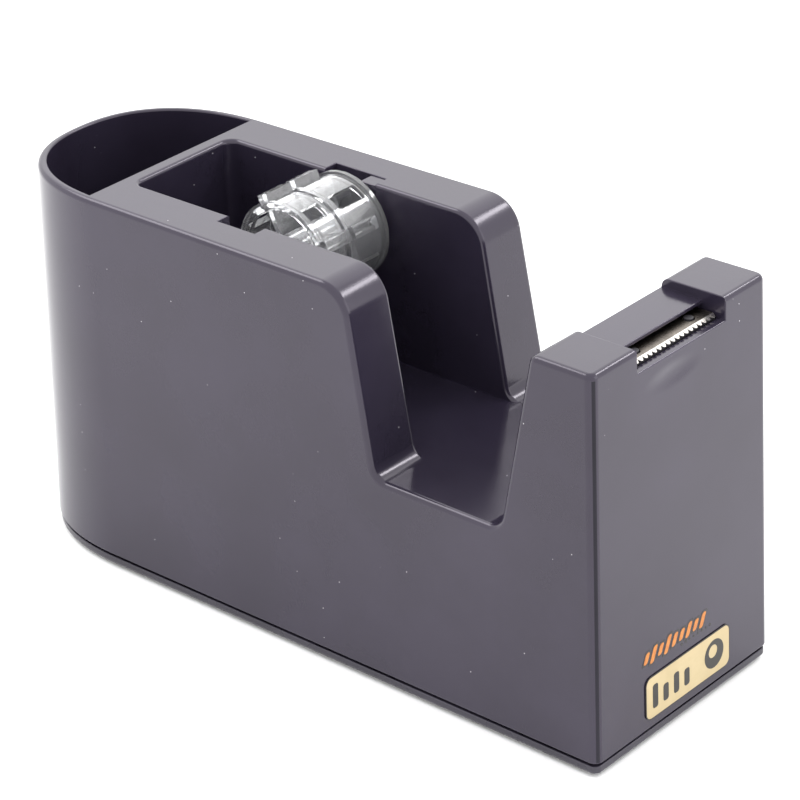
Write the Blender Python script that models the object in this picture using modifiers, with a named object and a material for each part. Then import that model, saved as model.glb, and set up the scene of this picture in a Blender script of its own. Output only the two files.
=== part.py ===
"""Weighted desktop tape dispenser with a pen cup, modelled as separate pieces.

Frame: X runs along the length with the blade tower at +X, Y across the width, +Z up.
The origin is under the middle of the object, on the surface that its feet stand on.
All sizes are in metres.
"""
from math import atan2, cos, pi, radians, sin, sqrt, tan

import bmesh
import bpy
from mathutils import Matrix, Vector

# Overall body
LENGTH = 0.170
WIDTH = 0.060
HEIGHT = 0.0898
SIDE_TAPER = 0.012            # half width lost per metre of length, from the front to the rear
SIDE_DRAFT = 0.013            # lean of the long sides, per metre of height
FRONT_DRAFT = 0.021
REAR_DRAFT = 0.020
REAR_DEPTH = 0.0351           # length of the rounded rear end
REAR_POWER = 2.33             # 2 would be an ellipse, larger is squarer
FRONT_CORNER_R = 0.0020
TOP_EDGE_R = 0.0010           # rounding of the outer top edge
TOP_EDGE_STEPS = 4
WALL = 0.0025
FRONT_X = LENGTH / 2.0        # foot of the front face
REAR_X = -LENGTH / 2.0        # foot of the rear end

# Base
FOOT_DROP = 0.0008            # how far the feet stand proud of the base plate
PLATE_THICK = 0.0019
PARTING_GAP = 0.0008
PLATE_INSET = 0.0003
CRADLE_WALL = 0.0015
CRADLE_HEIGHT = 0.0060
FOOT_R = 0.0050
FOOT_THICK = 0.0016
FOOT_FROM_FRONT = 0.0290
FOOT_FROM_REAR = 0.0400
FOOT_FROM_SIDE = 0.0100
FIT_GAP = 0.0003              # clearance between neighbouring pieces

# Screws through the base plate
BOSS_R = 0.0036
BOSS_TOP_Z = 0.0180
FRONT_BOSS_FROM_FRONT = 0.0060
MIDDLE_BOSS_X = 0.0080
REAR_BOSS_FROM_REAR = 0.0240
REAR_BOSS_FROM_SIDE = 0.0115
BOSS_SINK = 0.0006            # depth that the front and middle bosses reach into the side walls
BASE_SCREW_R = 0.0014
BASE_SCREW_LENGTH = 0.0100
BASE_HEAD_R = 0.0027
BASE_HEAD_THICK = 0.0012
DRIVE_LONG = 0.0032           # arms of the cross recess in the screw heads
DRIVE_WIDE = 0.0007

# V-shaped notch between the body and the tower
FLOOR_Z = 0.0490
TOWER_LENGTH = 0.0250         # from the front to the foot of the tower's rear face
NOTCH_LENGTH = 0.0328         # from there to the foot of the body's slope
NOTCH_FRONT_X = FRONT_X - TOWER_LENGTH
NOTCH_REAR_X = NOTCH_FRONT_X - NOTCH_LENGTH
BODY_SLOPE = 0.174            # run per rise
TOWER_SLOPE = 0.190
BODY_TOP_R = 0.0080
TOWER_TOP_R = 0.0020
REAR_FOOT_R = 0.0035
FRONT_FOOT_R = 0.0040

# Ballast
BALLAST_FROM_FRONT = 0.0330
BALLAST_FROM_REAR = 0.0410
BALLAST_SIDE_GAP = 0.0033     # to the screw bosses
BALLAST_TOP_GAP = 0.0130      # from its height to the level of the notch floor
BALLAST_EDGE = 0.0015
BALLAST_FRONT_X = FRONT_X - BALLAST_FROM_FRONT
BALLAST_REAR_X = REAR_X + BALLAST_FROM_REAR
BALLAST_HALF_WIDTH = WIDTH / 2.0 - WALL - 2.0 * BOSS_R - BALLAST_SIDE_GAP
BALLAST_HEIGHT = FLOOR_Z - BALLAST_TOP_GAP

# Tape well and pen cup
WELL_HALF_WIDTH = 0.0150
WELL_FROM_REAR = 0.0347
WELL_REAR_X = REAR_X + WELL_FROM_REAR
WELL_CORNER_R = 0.0025
DIVIDER = 0.0036
CUP_WALL = 0.0020
CUP_FLOOR_Z = 0.0200

# Tape hub and its seats in the side walls
HUB_DROP = 0.0104             # axis below the top of the body
HUB_SET_BACK = 0.00395        # axis behind the middle of the space between the well's rear and the slope's foot
HUB_X = (WELL_REAR_X + NOTCH_REAR_X) / 2.0 - HUB_SET_BACK
HUB_Z = HEIGHT - HUB_DROP
AXLE_R = 0.0023
AXLE_FLAT_CUT = 0.0005        # depth of the flats on the axle's ends
SEAT_DEPTH = 0.0038
SEAT_POCKET_HALF = 0.0071
SEAT_POCKET_DEPTH = 0.0058
SEAT_TAB_DROP = 0.0003
SEAT_TAB_THICK = 0.0014
SEAT_TAB_CLEAR = 0.0003
RING_R = 0.0120               # end ring, middle ring and flange
RING_THICK = 0.0010
DRUM_R = 0.0114
DRUM_WALL = 0.0014
RIB_R = 0.0136                # the ribs that grip the tape's core
RIB_WIDTH = 0.0027
RIB_COUNT = 4
RIB_TURN = radians(113.0)
RIB_END_GAP = 0.0033          # between the ribs and the flange
WINDOW_TURN = radians(-53.0)  # from a rib to the window beside it
WINDOW_WIDTH = 0.0040
WINDOW_RIM = 0.0010           # drum left between a window and the rings
FLANGE_GAP = 0.0014           # between the flange and the side wall
DRUM_LENGTH = 0.0193
FIRST_HALF = 0.0077           # length of the half with the open ring
FLANGE_FAR_Y = WELL_HALF_WIDTH - FLANGE_GAP
FLANGE_NEAR_Y = FLANGE_FAR_Y - RING_THICK
DRUM_NEAR_Y = FLANGE_NEAR_Y - DRUM_LENGTH
DRUM_SPLIT_Y = DRUM_NEAR_Y + FIRST_HALF
SLEEVE_WALL = 0.0014
WEB_THICK = 0.0012
AXLE_CLEAR = 0.0003

# Tower top: tape channel, blade slot, blade and its carrier
CHANNEL_HALF_WIDTH = 0.0145
TROUGH_DEPTH = 0.0050         # lip of the slot below the shoulders
PLATFORM_DROP = 0.0021        # tape platform below the shoulders
POCKET_WALL = 0.0038          # from the front to the slot
POCKET_LENGTH = 0.0092
POCKET_FLOOR_DROP = 0.0074
PLATFORM_OVERHANG = 0.0055    # over the slot's rear end
POCKET_FRONT_X = FRONT_X - POCKET_WALL
POCKET_REAR_X = POCKET_FRONT_X - POCKET_LENGTH
PLATFORM_FRONT_X = POCKET_REAR_X + PLATFORM_OVERHANG
CARRIER_HEIGHT = POCKET_FLOOR_DROP - TROUGH_DEPTH
BLADE_THICK = 0.0005
BLADE_END_GAP = 0.0004
BLADE_OVERHANG = 0.0002       # tips past the slot's front wall
BLADE_LENGTH = 2.0 * (CHANNEL_HALF_WIDTH - BLADE_END_GAP)
BLADE_TIP_X = POCKET_FRONT_X + BLADE_OVERHANG
TOOTH_PITCH = 0.0015
TOOTH_DEPTH = 0.0009
STUD_R = 0.0010
STUD_Y = 0.0090
STUD_SET_BACK = 0.0030        # from the slot's front wall
STUD_X = POCKET_FRONT_X - STUD_SET_BACK
STUD_HEADROOM = 0.0002        # between the studs and the roof of the slot
CARRIER_SCREW_SET_IN = 0.0028  # from the slot's rear end
CARRIER_SCREW_X = POCKET_REAR_X + CARRIER_SCREW_SET_IN
CARRIER_SCREW_Y = 0.0090
CARRIER_SCREW_R = 0.0010
CARRIER_SCREW_LENGTH = 0.0036
CARRIER_HEAD_R = 0.0018
CARRIER_HEAD_THICK = 0.0010

# Front label
LABEL_WIDTH = 0.0290
LABEL_HEIGHT = 0.0100
LABEL_THICK = 0.00015
LABEL_GAP = 0.0001
LABEL_CORNER_R = 0.0018
LABEL_Y = 0.0008
LABEL_Z = 0.0106

PLATE_BOTTOM_Z = FOOT_DROP
PLATE_TOP_Z = PLATE_BOTTOM_Z + PLATE_THICK
SHELL_BOTTOM_Z = PLATE_TOP_Z + PARTING_GAP
OVERCUT = 0.010               # how far a cutter runs past the face it opens
LEAST_R = 0.0004              # smallest rounding kept on an inset outline

COLOURS = {
    "housing_plastic": ((0.115, 0.105, 0.125), 0.38, 0.0),
    "base_plastic": ((0.030, 0.028, 0.032), 0.55, 0.0),
    "ballast_cement": ((0.42, 0.41, 0.39), 0.90, 0.0),
    "rubber": ((0.020, 0.020, 0.020), 0.85, 0.0),
    "screw_steel": ((0.45, 0.45, 0.46), 0.35, 1.0),
    "blade_steel": ((0.60, 0.57, 0.52), 0.30, 1.0),
    "carrier_plastic": ((0.012, 0.012, 0.013), 0.50, 0.0),
    "clear_plastic": ((0.88, 0.88, 0.90), 0.08, 0.0),
    "label_film": ((0.78, 0.66, 0.42), 0.40, 0.0),
}


def clear_scene():
    for item in list(bpy.data.objects):
        bpy.data.objects.remove(item, do_unlink=True)


def make_collection(name):
    collection = bpy.data.collections.new(name)
    bpy.context.scene.collection.children.link(collection)
    return collection


def make_material(name):
    colour, roughness, metallic = COLOURS[name]
    material = bpy.data.materials.new(name)
    material.use_nodes = True
    shader = material.node_tree.nodes["Principled BSDF"]
    shader.inputs["Base Color"].default_value = (*colour, 1.0)
    shader.inputs["Roughness"].default_value = roughness
    shader.inputs["Metallic"].default_value = metallic
    return material


clear_scene()
PARTS = make_collection("tape_dispenser")
CUTTERS = make_collection("cutters")
MATERIALS = {name: make_material(name) for name in COLOURS}


# ---------------------------------------------------------------- helpers

def link_mesh(name, mesh, collection, location=(0.0, 0.0, 0.0)):
    piece = bpy.data.objects.new(name, mesh)
    piece.location = location
    collection.objects.link(piece)
    return piece


def as_cutter(piece):
    for collection in list(piece.users_collection):
        collection.objects.unlink(piece)
    CUTTERS.objects.link(piece)
    piece.hide_render = True
    piece.display_type = "WIRE"
    return piece


def as_part(piece, material):
    piece.data.materials.clear()
    piece.data.materials.append(MATERIALS[material])
    return piece


def smooth_round(piece, angle=35.0):
    piece.data.shade_smooth()
    piece.data.set_sharp_from_angle(angle=radians(angle))
    return piece


def from_bmesh(name, shape, collection, location=(0.0, 0.0, 0.0)):
    bmesh.ops.recalc_face_normals(shape, faces=shape.faces)
    mesh = bpy.data.meshes.new(name)
    shape.to_mesh(mesh)
    shape.free()
    return link_mesh(name, mesh, collection, location)


def box(name, low, high, collection):
    size = [b - a for a, b in zip(low, high)]
    centre = [(a + b) / 2.0 for a, b in zip(low, high)]
    shape = bmesh.new()
    bmesh.ops.create_cube(shape, size=1.0, matrix=Matrix.Diagonal((*size, 1.0)))
    return from_bmesh(name, shape, collection, centre)


def cylinder(name, radius, low, high, collection, axis="Z", segments=32, top_radius=None):
    """A cylinder or cone between two points given on the axis that it runs along."""
    start = Vector(low)
    end = Vector(high)
    shape = bmesh.new()
    bmesh.ops.create_cone(
        shape,
        cap_ends=True,
        segments=segments,
        radius1=radius,
        radius2=radius if top_radius is None else top_radius,
        depth=(end - start).length,
    )
    if axis == "Y":
        bmesh.ops.rotate(shape, cent=(0, 0, 0), matrix=Matrix.Rotation(-pi / 2, 3, "X"), verts=shape.verts)
    return from_bmesh(name, shape, collection, (start + end) / 2.0)


def loft(name, levels, collection):
    """A closed solid through outlines with the same number of points, given with their heights from the bottom up."""
    shape = bmesh.new()
    rings = [[shape.verts.new((x, y, z)) for x, y in outline] for outline, z in levels]
    count = len(rings[0])
    for lower, upper in zip(rings, rings[1:]):
        for index in range(count):
            following = (index + 1) % count
            shape.faces.new((lower[index], lower[following], upper[following], upper[index]))
    shape.faces.new(rings[0])
    shape.faces.new(rings[-1])
    return from_bmesh(name, shape, collection)


def flat_outline(name, points, thickness, collection, plane="XY", offset=0.0):
    """An extruded outline. In plane XZ the outline is (x, z), and offset is along Y."""
    curve = bpy.data.curves.new(name, "CURVE")
    curve.dimensions = "2D"
    curve.fill_mode = "BOTH"
    curve.extrude = thickness / 2.0
    spline = curve.splines.new("POLY")
    spline.points.add(len(points) - 1)
    for point, (u, v) in zip(spline.points, points):
        point.co = (u, v, 0.0, 1.0)
    spline.use_cyclic_u = True
    outline = bpy.data.objects.new(name + "_outline", curve)
    bpy.context.scene.collection.objects.link(outline)
    if plane == "XZ":
        outline.rotation_euler = (pi / 2, 0.0, 0.0)
        outline.location = (0.0, offset, 0.0)
    else:
        outline.location = (0.0, 0.0, offset)
    bpy.context.view_layer.update()
    evaluated = outline.evaluated_get(bpy.context.evaluated_depsgraph_get())
    mesh = bpy.data.meshes.new_from_object(evaluated)
    mesh.name = name
    shape = bmesh.new()
    shape.from_mesh(mesh)
    bmesh.ops.remove_doubles(shape, verts=shape.verts, dist=0.00001)
    bmesh.ops.recalc_face_normals(shape, faces=shape.faces)
    shape.to_mesh(mesh)
    shape.free()
    piece = link_mesh(name, mesh, collection)
    piece.matrix_world = outline.matrix_world.copy()
    bpy.data.objects.remove(outline, do_unlink=True)
    return piece


def boolean(piece, tool, operation):
    modifier = piece.modifiers.new(f"{operation}_{tool.name}"[:60], "BOOLEAN")
    modifier.operation = operation
    modifier.solver = "EXACT"
    modifier.object = tool
    return piece


def cut(piece, *tools):
    for tool in tools:
        boolean(piece, as_cutter(tool), "DIFFERENCE")
    return piece


def join(piece, *tools):
    for tool in tools:
        boolean(piece, as_cutter(tool), "UNION")
    return piece


def arc(centre, radius, start, end, segments):
    step = (end - start) / segments
    return [
        (centre[0] + radius * cos(start + step * index), centre[1] + radius * sin(start + step * index))
        for index in range(segments + 1)
    ]


def rounded_corner(before, corner, after, radius, segments=6):
    """Points of the arc that rounds one corner of an outline."""
    back = Vector(before) - Vector(corner)
    ahead = Vector(after) - Vector(corner)
    back.normalize()
    ahead.normalize()
    half = back.angle(ahead) / 2.0
    middle = (back + ahead).normalized()
    centre = Vector(corner) + middle * (radius / sin(half))
    first = Vector(corner) + back * (radius / tan(half)) - centre
    last = Vector(corner) + ahead * (radius / tan(half)) - centre
    start = atan2(first.y, first.x)
    sweep = atan2(last.y, last.x) - start
    sweep = (sweep + pi) % (2.0 * pi) - pi
    return arc(tuple(centre), radius, start, start + sweep, segments)


def rounded_rectangle(half_u, half_v, radius, centre=(0.0, 0.0), segments=5):
    corners = ((half_u, half_v), (-half_u, half_v), (-half_u, -half_v), (half_u, -half_v))
    points = []
    for index, (u, v) in enumerate(corners):
        middle = (centre[0] + u - radius * (1 if u > 0 else -1), centre[1] + v - radius * (1 if v > 0 else -1))
        points += arc(middle, radius, index * pi / 2, (index + 1) * pi / 2, segments)
    return points


# ---------------------------------------------------------------- body outline

def front_x(z, inset=0.0):
    return FRONT_X - FRONT_DRAFT * (z - PLATE_BOTTOM_Z) - inset


def side_y(x, z, inset=0.0):
    """Half width of the straight flank at a place along the length."""
    return WIDTH / 2.0 - SIDE_TAPER * (FRONT_X - x) - SIDE_DRAFT * (z - PLATE_BOTTOM_Z) - inset


def rear_points(z, inset=0.0, limit_x=None, steps=32):
    """The rounded rear end, from the far side to the near side, cut off at limit_x."""
    centre_x = REAR_X + REAR_DEPTH
    reach = REAR_DEPTH - REAR_DRAFT * (z - PLATE_BOTTOM_Z) - inset
    half = side_y(centre_x, z, inset)
    power = 2.0 / REAR_POWER
    start = pi / 2
    if limit_x is not None:
        start = pi / 2 - asin_power((centre_x - limit_x) / reach, power)
    points = []
    for index in range(steps + 1):
        angle = start - 2.0 * start * index / steps
        across = abs(sin(angle)) ** power
        along = max(cos(angle), 0.0) ** power
        side = 1.0 if angle > 0 else -1.0
        points.append((centre_x - reach * along, half * across * side))
    return points


def asin_power(share, power):
    """Angle whose cosine, raised to the power, is the given share, measured from a right angle."""
    base = share ** (1.0 / power)
    return atan2(base, sqrt(1.0 - base * base))


def body_outline(z, inset=0.0):
    """Plan outline of the body at one height: two rounded front corners and the rounded rear."""
    radius = max(FRONT_CORNER_R - inset, LEAST_R)
    x = front_x(z, inset)
    y = side_y(x, z, inset)
    near = arc((x - radius, -y + radius), radius, -pi / 2, 0.0, 4)
    far = arc((x - radius, y - radius), radius, 0.0, pi / 2, 4)
    return near + far + rear_points(z, inset)


def notch_outline(grow=0.0):
    """Side outline of the space between body and tower, grown outwards by a wall."""
    top = HEIGHT - grow
    floor = FLOOR_Z - grow
    body_shift = grow * sqrt(1.0 + BODY_SLOPE ** 2)
    tower_shift = grow * sqrt(1.0 + TOWER_SLOPE ** 2)

    def body_x(z):
        return NOTCH_REAR_X - BODY_SLOPE * (z - FLOOR_Z) - body_shift

    def tower_x(z):
        return NOTCH_FRONT_X + TOWER_SLOPE * (z - FLOOR_Z) + tower_shift

    body_top = (body_x(top), top)
    body_foot = (body_x(floor), floor)
    tower_foot = (tower_x(floor), floor)
    tower_top = (tower_x(top), top)
    before = (body_top[0] - LENGTH, top)
    after = (tower_top[0] + LENGTH, top)
    points = rounded_corner(before, body_top, body_foot, max(BODY_TOP_R - grow, LEAST_R), 8)
    points += rounded_corner(body_top, body_foot, tower_foot, REAR_FOOT_R + grow)
    points += rounded_corner(body_foot, tower_foot, tower_top, FRONT_FOOT_R + grow)
    points += rounded_corner(tower_foot, tower_top, after, max(TOWER_TOP_R - grow, LEAST_R), 4)
    points.append((points[-1][0], HEIGHT + OVERCUT))
    points.append((points[0][0], HEIGHT + OVERCUT))
    return points


def top_edge_levels():
    """Outlines and heights of the rounded outer top edge."""
    levels = []
    for step in range(TOP_EDGE_STEPS + 1):
        angle = pi / 2 * step / TOP_EDGE_STEPS
        z = HEIGHT - TOP_EDGE_R * (1.0 - sin(angle))
        levels.append((body_outline(z, TOP_EDGE_R * (1.0 - cos(angle))), z))
    return levels


def boss_places():
    """Centres of the screw bosses. The front and middle ones grow out of the side walls."""
    places = []
    for x in (FRONT_X - FRONT_BOSS_FROM_FRONT, MIDDLE_BOSS_X):
        y = side_y(x, BOSS_TOP_Z, WALL) - BOSS_R + BOSS_SINK
        places += [(x, -y), (x, y)]
    x = REAR_X + REAR_BOSS_FROM_REAR
    y = WIDTH / 2.0 - REAR_BOSS_FROM_SIDE
    return places + [(x, -y), (x, y)]


# ---------------------------------------------------------------- housing

def housing_core():
    """The hollow inside the housing, open at the bottom."""
    top = HEIGHT - WALL
    bottom = SHELL_BOTTOM_Z - OVERCUT
    core = loft("core", ((body_outline(bottom, WALL), bottom), (body_outline(top, WALL), top)), CUTTERS)
    notch = flat_outline("core_notch", notch_outline(WALL), WIDTH + OVERCUT, CUTTERS, "XZ")
    well = box("core_well", (WELL_REAR_X - WALL, -WELL_HALF_WIDTH - WALL, FLOOR_Z - WALL),
               (NOTCH_REAR_X + WALL, WELL_HALF_WIDTH + WALL, HEIGHT + OVERCUT), CUTTERS)
    cup = box("core_cup", (-LENGTH, -WIDTH, CUP_FLOOR_Z - WALL),
              (WELL_REAR_X - DIVIDER + WALL, WIDTH, HEIGHT + OVERCUT), CUTTERS)
    tower = box("core_tower", (POCKET_REAR_X - WALL, -CHANNEL_HALF_WIDTH - WALL, HEIGHT - POCKET_FLOOR_DROP - WALL),
                (LENGTH, CHANNEL_HALF_WIDTH + WALL, HEIGHT + OVERCUT), CUTTERS)
    channel = box("core_channel", (NOTCH_FRONT_X, -CHANNEL_HALF_WIDTH - WALL, HEIGHT - PLATFORM_DROP - WALL),
                  (LENGTH, CHANNEL_HALF_WIDTH + WALL, HEIGHT + OVERCUT), CUTTERS)
    cut(core, notch, well, cup, tower, channel)
    for side, name in ((-1, "near"), (1, "far")):
        inner = side * (WELL_HALF_WIDTH - OVERCUT / 4)
        outer = side * (WELL_HALF_WIDTH + SEAT_DEPTH + WALL)
        low = (HUB_X - SEAT_POCKET_HALF - WALL, min(inner, outer), HUB_Z - AXLE_R - FIT_GAP - WALL)
        high = (HUB_X + SEAT_POCKET_HALF + WALL, max(inner, outer), HEIGHT + OVERCUT)
        cut(core, box(f"core_seat_{name}", low, high, CUTTERS))
    for index, (x, y) in enumerate(boss_places()):
        boss = cylinder(f"core_boss_{index}", BOSS_R, (x, y, SHELL_BOTTOM_Z - 2 * OVERCUT), (x, y, BOSS_TOP_Z),
                        CUTTERS, segments=24)
        cut(core, boss)
    return core


def seat_cutters(side, name):
    """Pocket, lead-in and slot that take one end of the hub's axle."""
    inner = side * (WELL_HALF_WIDTH - OVERCUT / 4)
    outer = side * (WELL_HALF_WIDTH + SEAT_DEPTH)
    low_y, high_y = min(inner, outer), max(inner, outer)
    middle_y = (low_y + high_y) / 2.0
    depth = high_y - low_y
    slot_half = AXLE_R + AXLE_CLEAR
    tab_x = HUB_X + slot_half + SEAT_TAB_CLEAR
    tab_top = HEIGHT - SEAT_TAB_DROP
    tab_bottom = tab_top - SEAT_TAB_THICK
    below = box(f"seat_pocket_{name}", (HUB_X - SEAT_POCKET_HALF, low_y, HEIGHT - SEAT_POCKET_DEPTH),
                (HUB_X + SEAT_POCKET_HALF, high_y, tab_bottom), CUTTERS)
    behind = box(f"seat_mouth_{name}", (HUB_X - SEAT_POCKET_HALF, low_y, tab_bottom - FIT_GAP),
                 (tab_x, high_y, HEIGHT + OVERCUT), CUTTERS)
    above = box(f"seat_lead_{name}", (tab_x - FIT_GAP, low_y, tab_top),
                (HUB_X + SEAT_POCKET_HALF, high_y, HEIGHT + OVERCUT), CUTTERS)
    slot = arc((HUB_X, HUB_Z), slot_half, pi, 2.0 * pi, 12)
    slot += [(HUB_X + slot_half, HEIGHT - SEAT_POCKET_DEPTH + FIT_GAP),
             (HUB_X - slot_half, HEIGHT - SEAT_POCKET_DEPTH + FIT_GAP)]
    groove = flat_outline(f"seat_slot_{name}", slot, depth, CUTTERS, "XZ", middle_y)
    return [below, behind, above, groove]


def make_housing():
    housing = loft("housing", [(body_outline(SHELL_BOTTOM_Z), SHELL_BOTTOM_Z)] + top_edge_levels(), PARTS)
    as_part(housing, "housing_plastic")
    notch = flat_outline("notch", notch_outline(), WIDTH + OVERCUT, CUTTERS, "XZ")
    half_length = (NOTCH_REAR_X + REAR_FOOT_R * 2 - WELL_REAR_X) / 2.0
    well_points = rounded_rectangle(half_length, WELL_HALF_WIDTH, WELL_CORNER_R, (WELL_REAR_X + half_length, 0.0))
    well_height = HEIGHT + OVERCUT - FLOOR_Z
    well = flat_outline("well", well_points, well_height, CUTTERS, "XY", FLOOR_Z + well_height / 2.0)
    cup_front = WELL_REAR_X - DIVIDER
    cup_top = HEIGHT + OVERCUT
    cup = loft("cup", ((rear_points(CUP_FLOOR_Z, CUP_WALL, cup_front, 24), CUP_FLOOR_Z),
                       (rear_points(cup_top, CUP_WALL, cup_front, 24), cup_top)), CUTTERS)
    cut(housing, housing_core(), notch, well, cup)
    channel = box("channel", (NOTCH_FRONT_X, -CHANNEL_HALF_WIDTH, HEIGHT - PLATFORM_DROP),
                  (PLATFORM_FRONT_X + FIT_GAP, CHANNEL_HALF_WIDTH, HEIGHT + OVERCUT), CUTTERS)
    trough = box("trough", (PLATFORM_FRONT_X, -CHANNEL_HALF_WIDTH, HEIGHT - TROUGH_DEPTH),
                 (LENGTH, CHANNEL_HALF_WIDTH, HEIGHT + OVERCUT), CUTTERS)
    pocket_top = carrier_top() + FIT_GAP + BLADE_THICK + FIT_GAP + STUD_HEADROOM
    pocket = box("pocket", (POCKET_REAR_X, -CHANNEL_HALF_WIDTH, HEIGHT - POCKET_FLOOR_DROP),
                 (POCKET_FRONT_X, CHANNEL_HALF_WIDTH, pocket_top), CUTTERS)
    cut(housing, channel, trough, pocket)
    for side, name in ((-1, "near"), (1, "far")):
        cut(housing, *seat_cutters(side, name))
    for index, (x, y) in enumerate(boss_places()):
        hole_top = PLATE_BOTTOM_Z + BASE_HEAD_THICK + BASE_SCREW_LENGTH + FIT_GAP
        hole = cylinder(f"boss_hole_{index}", BASE_SCREW_R + FIT_GAP, (x, y, SHELL_BOTTOM_Z - OVERCUT),
                        (x, y, hole_top), CUTTERS, segments=20)
        cut(housing, hole)
    for index, y in enumerate((-CARRIER_SCREW_Y, CARRIER_SCREW_Y)):
        floor = HEIGHT - POCKET_FLOOR_DROP
        hole = cylinder(f"carrier_hole_{index}", CARRIER_SCREW_R + FIT_GAP, (CARRIER_SCREW_X, y, floor - 2 * WALL),
                        (CARRIER_SCREW_X, y, floor + FIT_GAP), CUTTERS, segments=16)
        cut(housing, hole)
    return smooth_round(housing, 25.0)


# ---------------------------------------------------------------- base

def make_base_plate():
    plate = loft("base_plate", ((body_outline(PLATE_BOTTOM_Z, PLATE_INSET), PLATE_BOTTOM_Z),
                                (body_outline(PLATE_TOP_Z, PLATE_INSET), PLATE_TOP_Z)), PARTS)
    as_part(plate, "base_plastic")
    cradle_top = PLATE_TOP_Z + CRADLE_HEIGHT
    outer = FIT_GAP + CRADLE_WALL
    outer_y = BALLAST_HALF_WIDTH + outer
    cradle = box("cradle", (BALLAST_REAR_X - outer, -outer_y, PLATE_TOP_Z - PLATE_THICK / 2),
                 (BALLAST_FRONT_X + outer, outer_y, cradle_top), CUTTERS)
    inner_y = BALLAST_HALF_WIDTH + FIT_GAP
    cradle_hollow = box("cradle_hollow", (BALLAST_REAR_X - FIT_GAP, -inner_y, PLATE_TOP_Z),
                        (BALLAST_FRONT_X + FIT_GAP, inner_y, cradle_top + OVERCUT), CUTTERS)
    join(plate, cradle)
    cut(plate, cradle_hollow)
    for index, (x, y) in enumerate(boss_places()):
        sink = cylinder(f"screw_sink_{index}", BASE_HEAD_R + FIT_GAP, (x, y, PLATE_BOTTOM_Z - OVERCUT),
                        (x, y, PLATE_BOTTOM_Z + BASE_HEAD_THICK + FIT_GAP / 2), CUTTERS, segments=24)
        through = cylinder(f"screw_through_{index}", BASE_SCREW_R + FIT_GAP, (x, y, PLATE_BOTTOM_Z - OVERCUT),
                           (x, y, PLATE_TOP_Z + OVERCUT), CUTTERS, segments=20)
        cut(plate, sink, through)
    for index, (x, y) in enumerate(foot_places()):
        recess = cylinder(f"foot_recess_{index}", FOOT_R + FIT_GAP, (x, y, PLATE_BOTTOM_Z - OVERCUT),
                          (x, y, FOOT_THICK + FIT_GAP), CUTTERS, segments=32)
        cut(plate, recess)
    return smooth_round(plate, 25.0)


def foot_places():
    y = WIDTH / 2.0 - FOOT_FROM_SIDE
    return [(x, side * y) for x in (FRONT_X - FOOT_FROM_FRONT, REAR_X + FOOT_FROM_REAR) for side in (-1, 1)]


def make_feet():
    names = ("foot_front_near", "foot_front_far", "foot_rear_near", "foot_rear_far")
    for name, (x, y) in zip(names, foot_places()):
        foot = cylinder(name, FOOT_R, (x, y, 0.0), (x, y, FOOT_THICK), PARTS, segments=32)
        as_part(foot, "rubber")
        rim = foot.modifiers.new("rim", "BEVEL")
        rim.width = FIT_GAP
        rim.segments = 1
        rim.limit_method = "ANGLE"
        smooth_round(foot)


def make_base_screws():
    rows = ("front", "middle", "rear")
    names = [f"base_screw_{row}_{side}" for row in rows for side in ("near", "far")]
    for name, (x, y) in zip(names, boss_places()):
        head_top = PLATE_BOTTOM_Z + BASE_HEAD_THICK
        screw = cylinder(name, BASE_HEAD_R, (x, y, PLATE_BOTTOM_Z), (x, y, head_top), PARTS, segments=24)
        as_part(screw, "screw_steel")
        shank = cylinder(f"{name}_shank", BASE_SCREW_R, (x, y, PLATE_BOTTOM_Z + BASE_HEAD_THICK / 2),
                         (x, y, head_top + BASE_SCREW_LENGTH), CUTTERS, segments=16)
        join(screw, shank)
        for turn, (long, wide) in enumerate(((DRIVE_LONG, DRIVE_WIDE), (DRIVE_WIDE, DRIVE_LONG))):
            slot = box(f"{name}_drive_{turn}", (x - long / 2, y - wide / 2, PLATE_BOTTOM_Z - OVERCUT),
                       (x + long / 2, y + wide / 2, PLATE_BOTTOM_Z + BASE_HEAD_THICK / 2), CUTTERS)
            cut(screw, slot)
        smooth_round(screw)


def make_ballast():
    bottom = PLATE_TOP_Z + FIT_GAP
    low = (BALLAST_REAR_X, -BALLAST_HALF_WIDTH, bottom)
    high = (BALLAST_FRONT_X, BALLAST_HALF_WIDTH, bottom + BALLAST_HEIGHT)
    ballast = box("ballast_block", low, high, PARTS)
    as_part(ballast, "ballast_cement")
    edge = ballast.modifiers.new("edge", "BEVEL")
    edge.width = BALLAST_EDGE
    edge.segments = 2


# ---------------------------------------------------------------- blade

def carrier_floor():
    return HEIGHT - POCKET_FLOOR_DROP + FIT_GAP


def carrier_top():
    return carrier_floor() + CARRIER_HEIGHT


def make_blade():
    """A steel strip with a row of teeth along its front edge."""
    rear = POCKET_REAR_X + 2 * FIT_GAP
    half = BLADE_LENGTH / 2.0
    teeth = round(BLADE_LENGTH / TOOTH_PITCH)
    pitch = BLADE_LENGTH / teeth
    points = [(rear, half), (rear, -half), (BLADE_TIP_X - TOOTH_DEPTH, -half)]
    for index in range(teeth):
        points.append((BLADE_TIP_X, -half + (index + 0.5) * pitch))
        points.append((BLADE_TIP_X - TOOTH_DEPTH, -half + (index + 1) * pitch))
    middle_z = carrier_top() + FIT_GAP + BLADE_THICK / 2.0
    blade = flat_outline("cutting_blade", points, BLADE_THICK, PARTS, "XY", middle_z)
    as_part(blade, "blade_steel")
    for index, y in enumerate((-STUD_Y, STUD_Y)):
        hole = cylinder(f"blade_hole_{index}", STUD_R + FIT_GAP, (STUD_X, y, middle_z - OVERCUT),
                        (STUD_X, y, middle_z + OVERCUT), CUTTERS, segments=16)
        cut(blade, hole)


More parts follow.
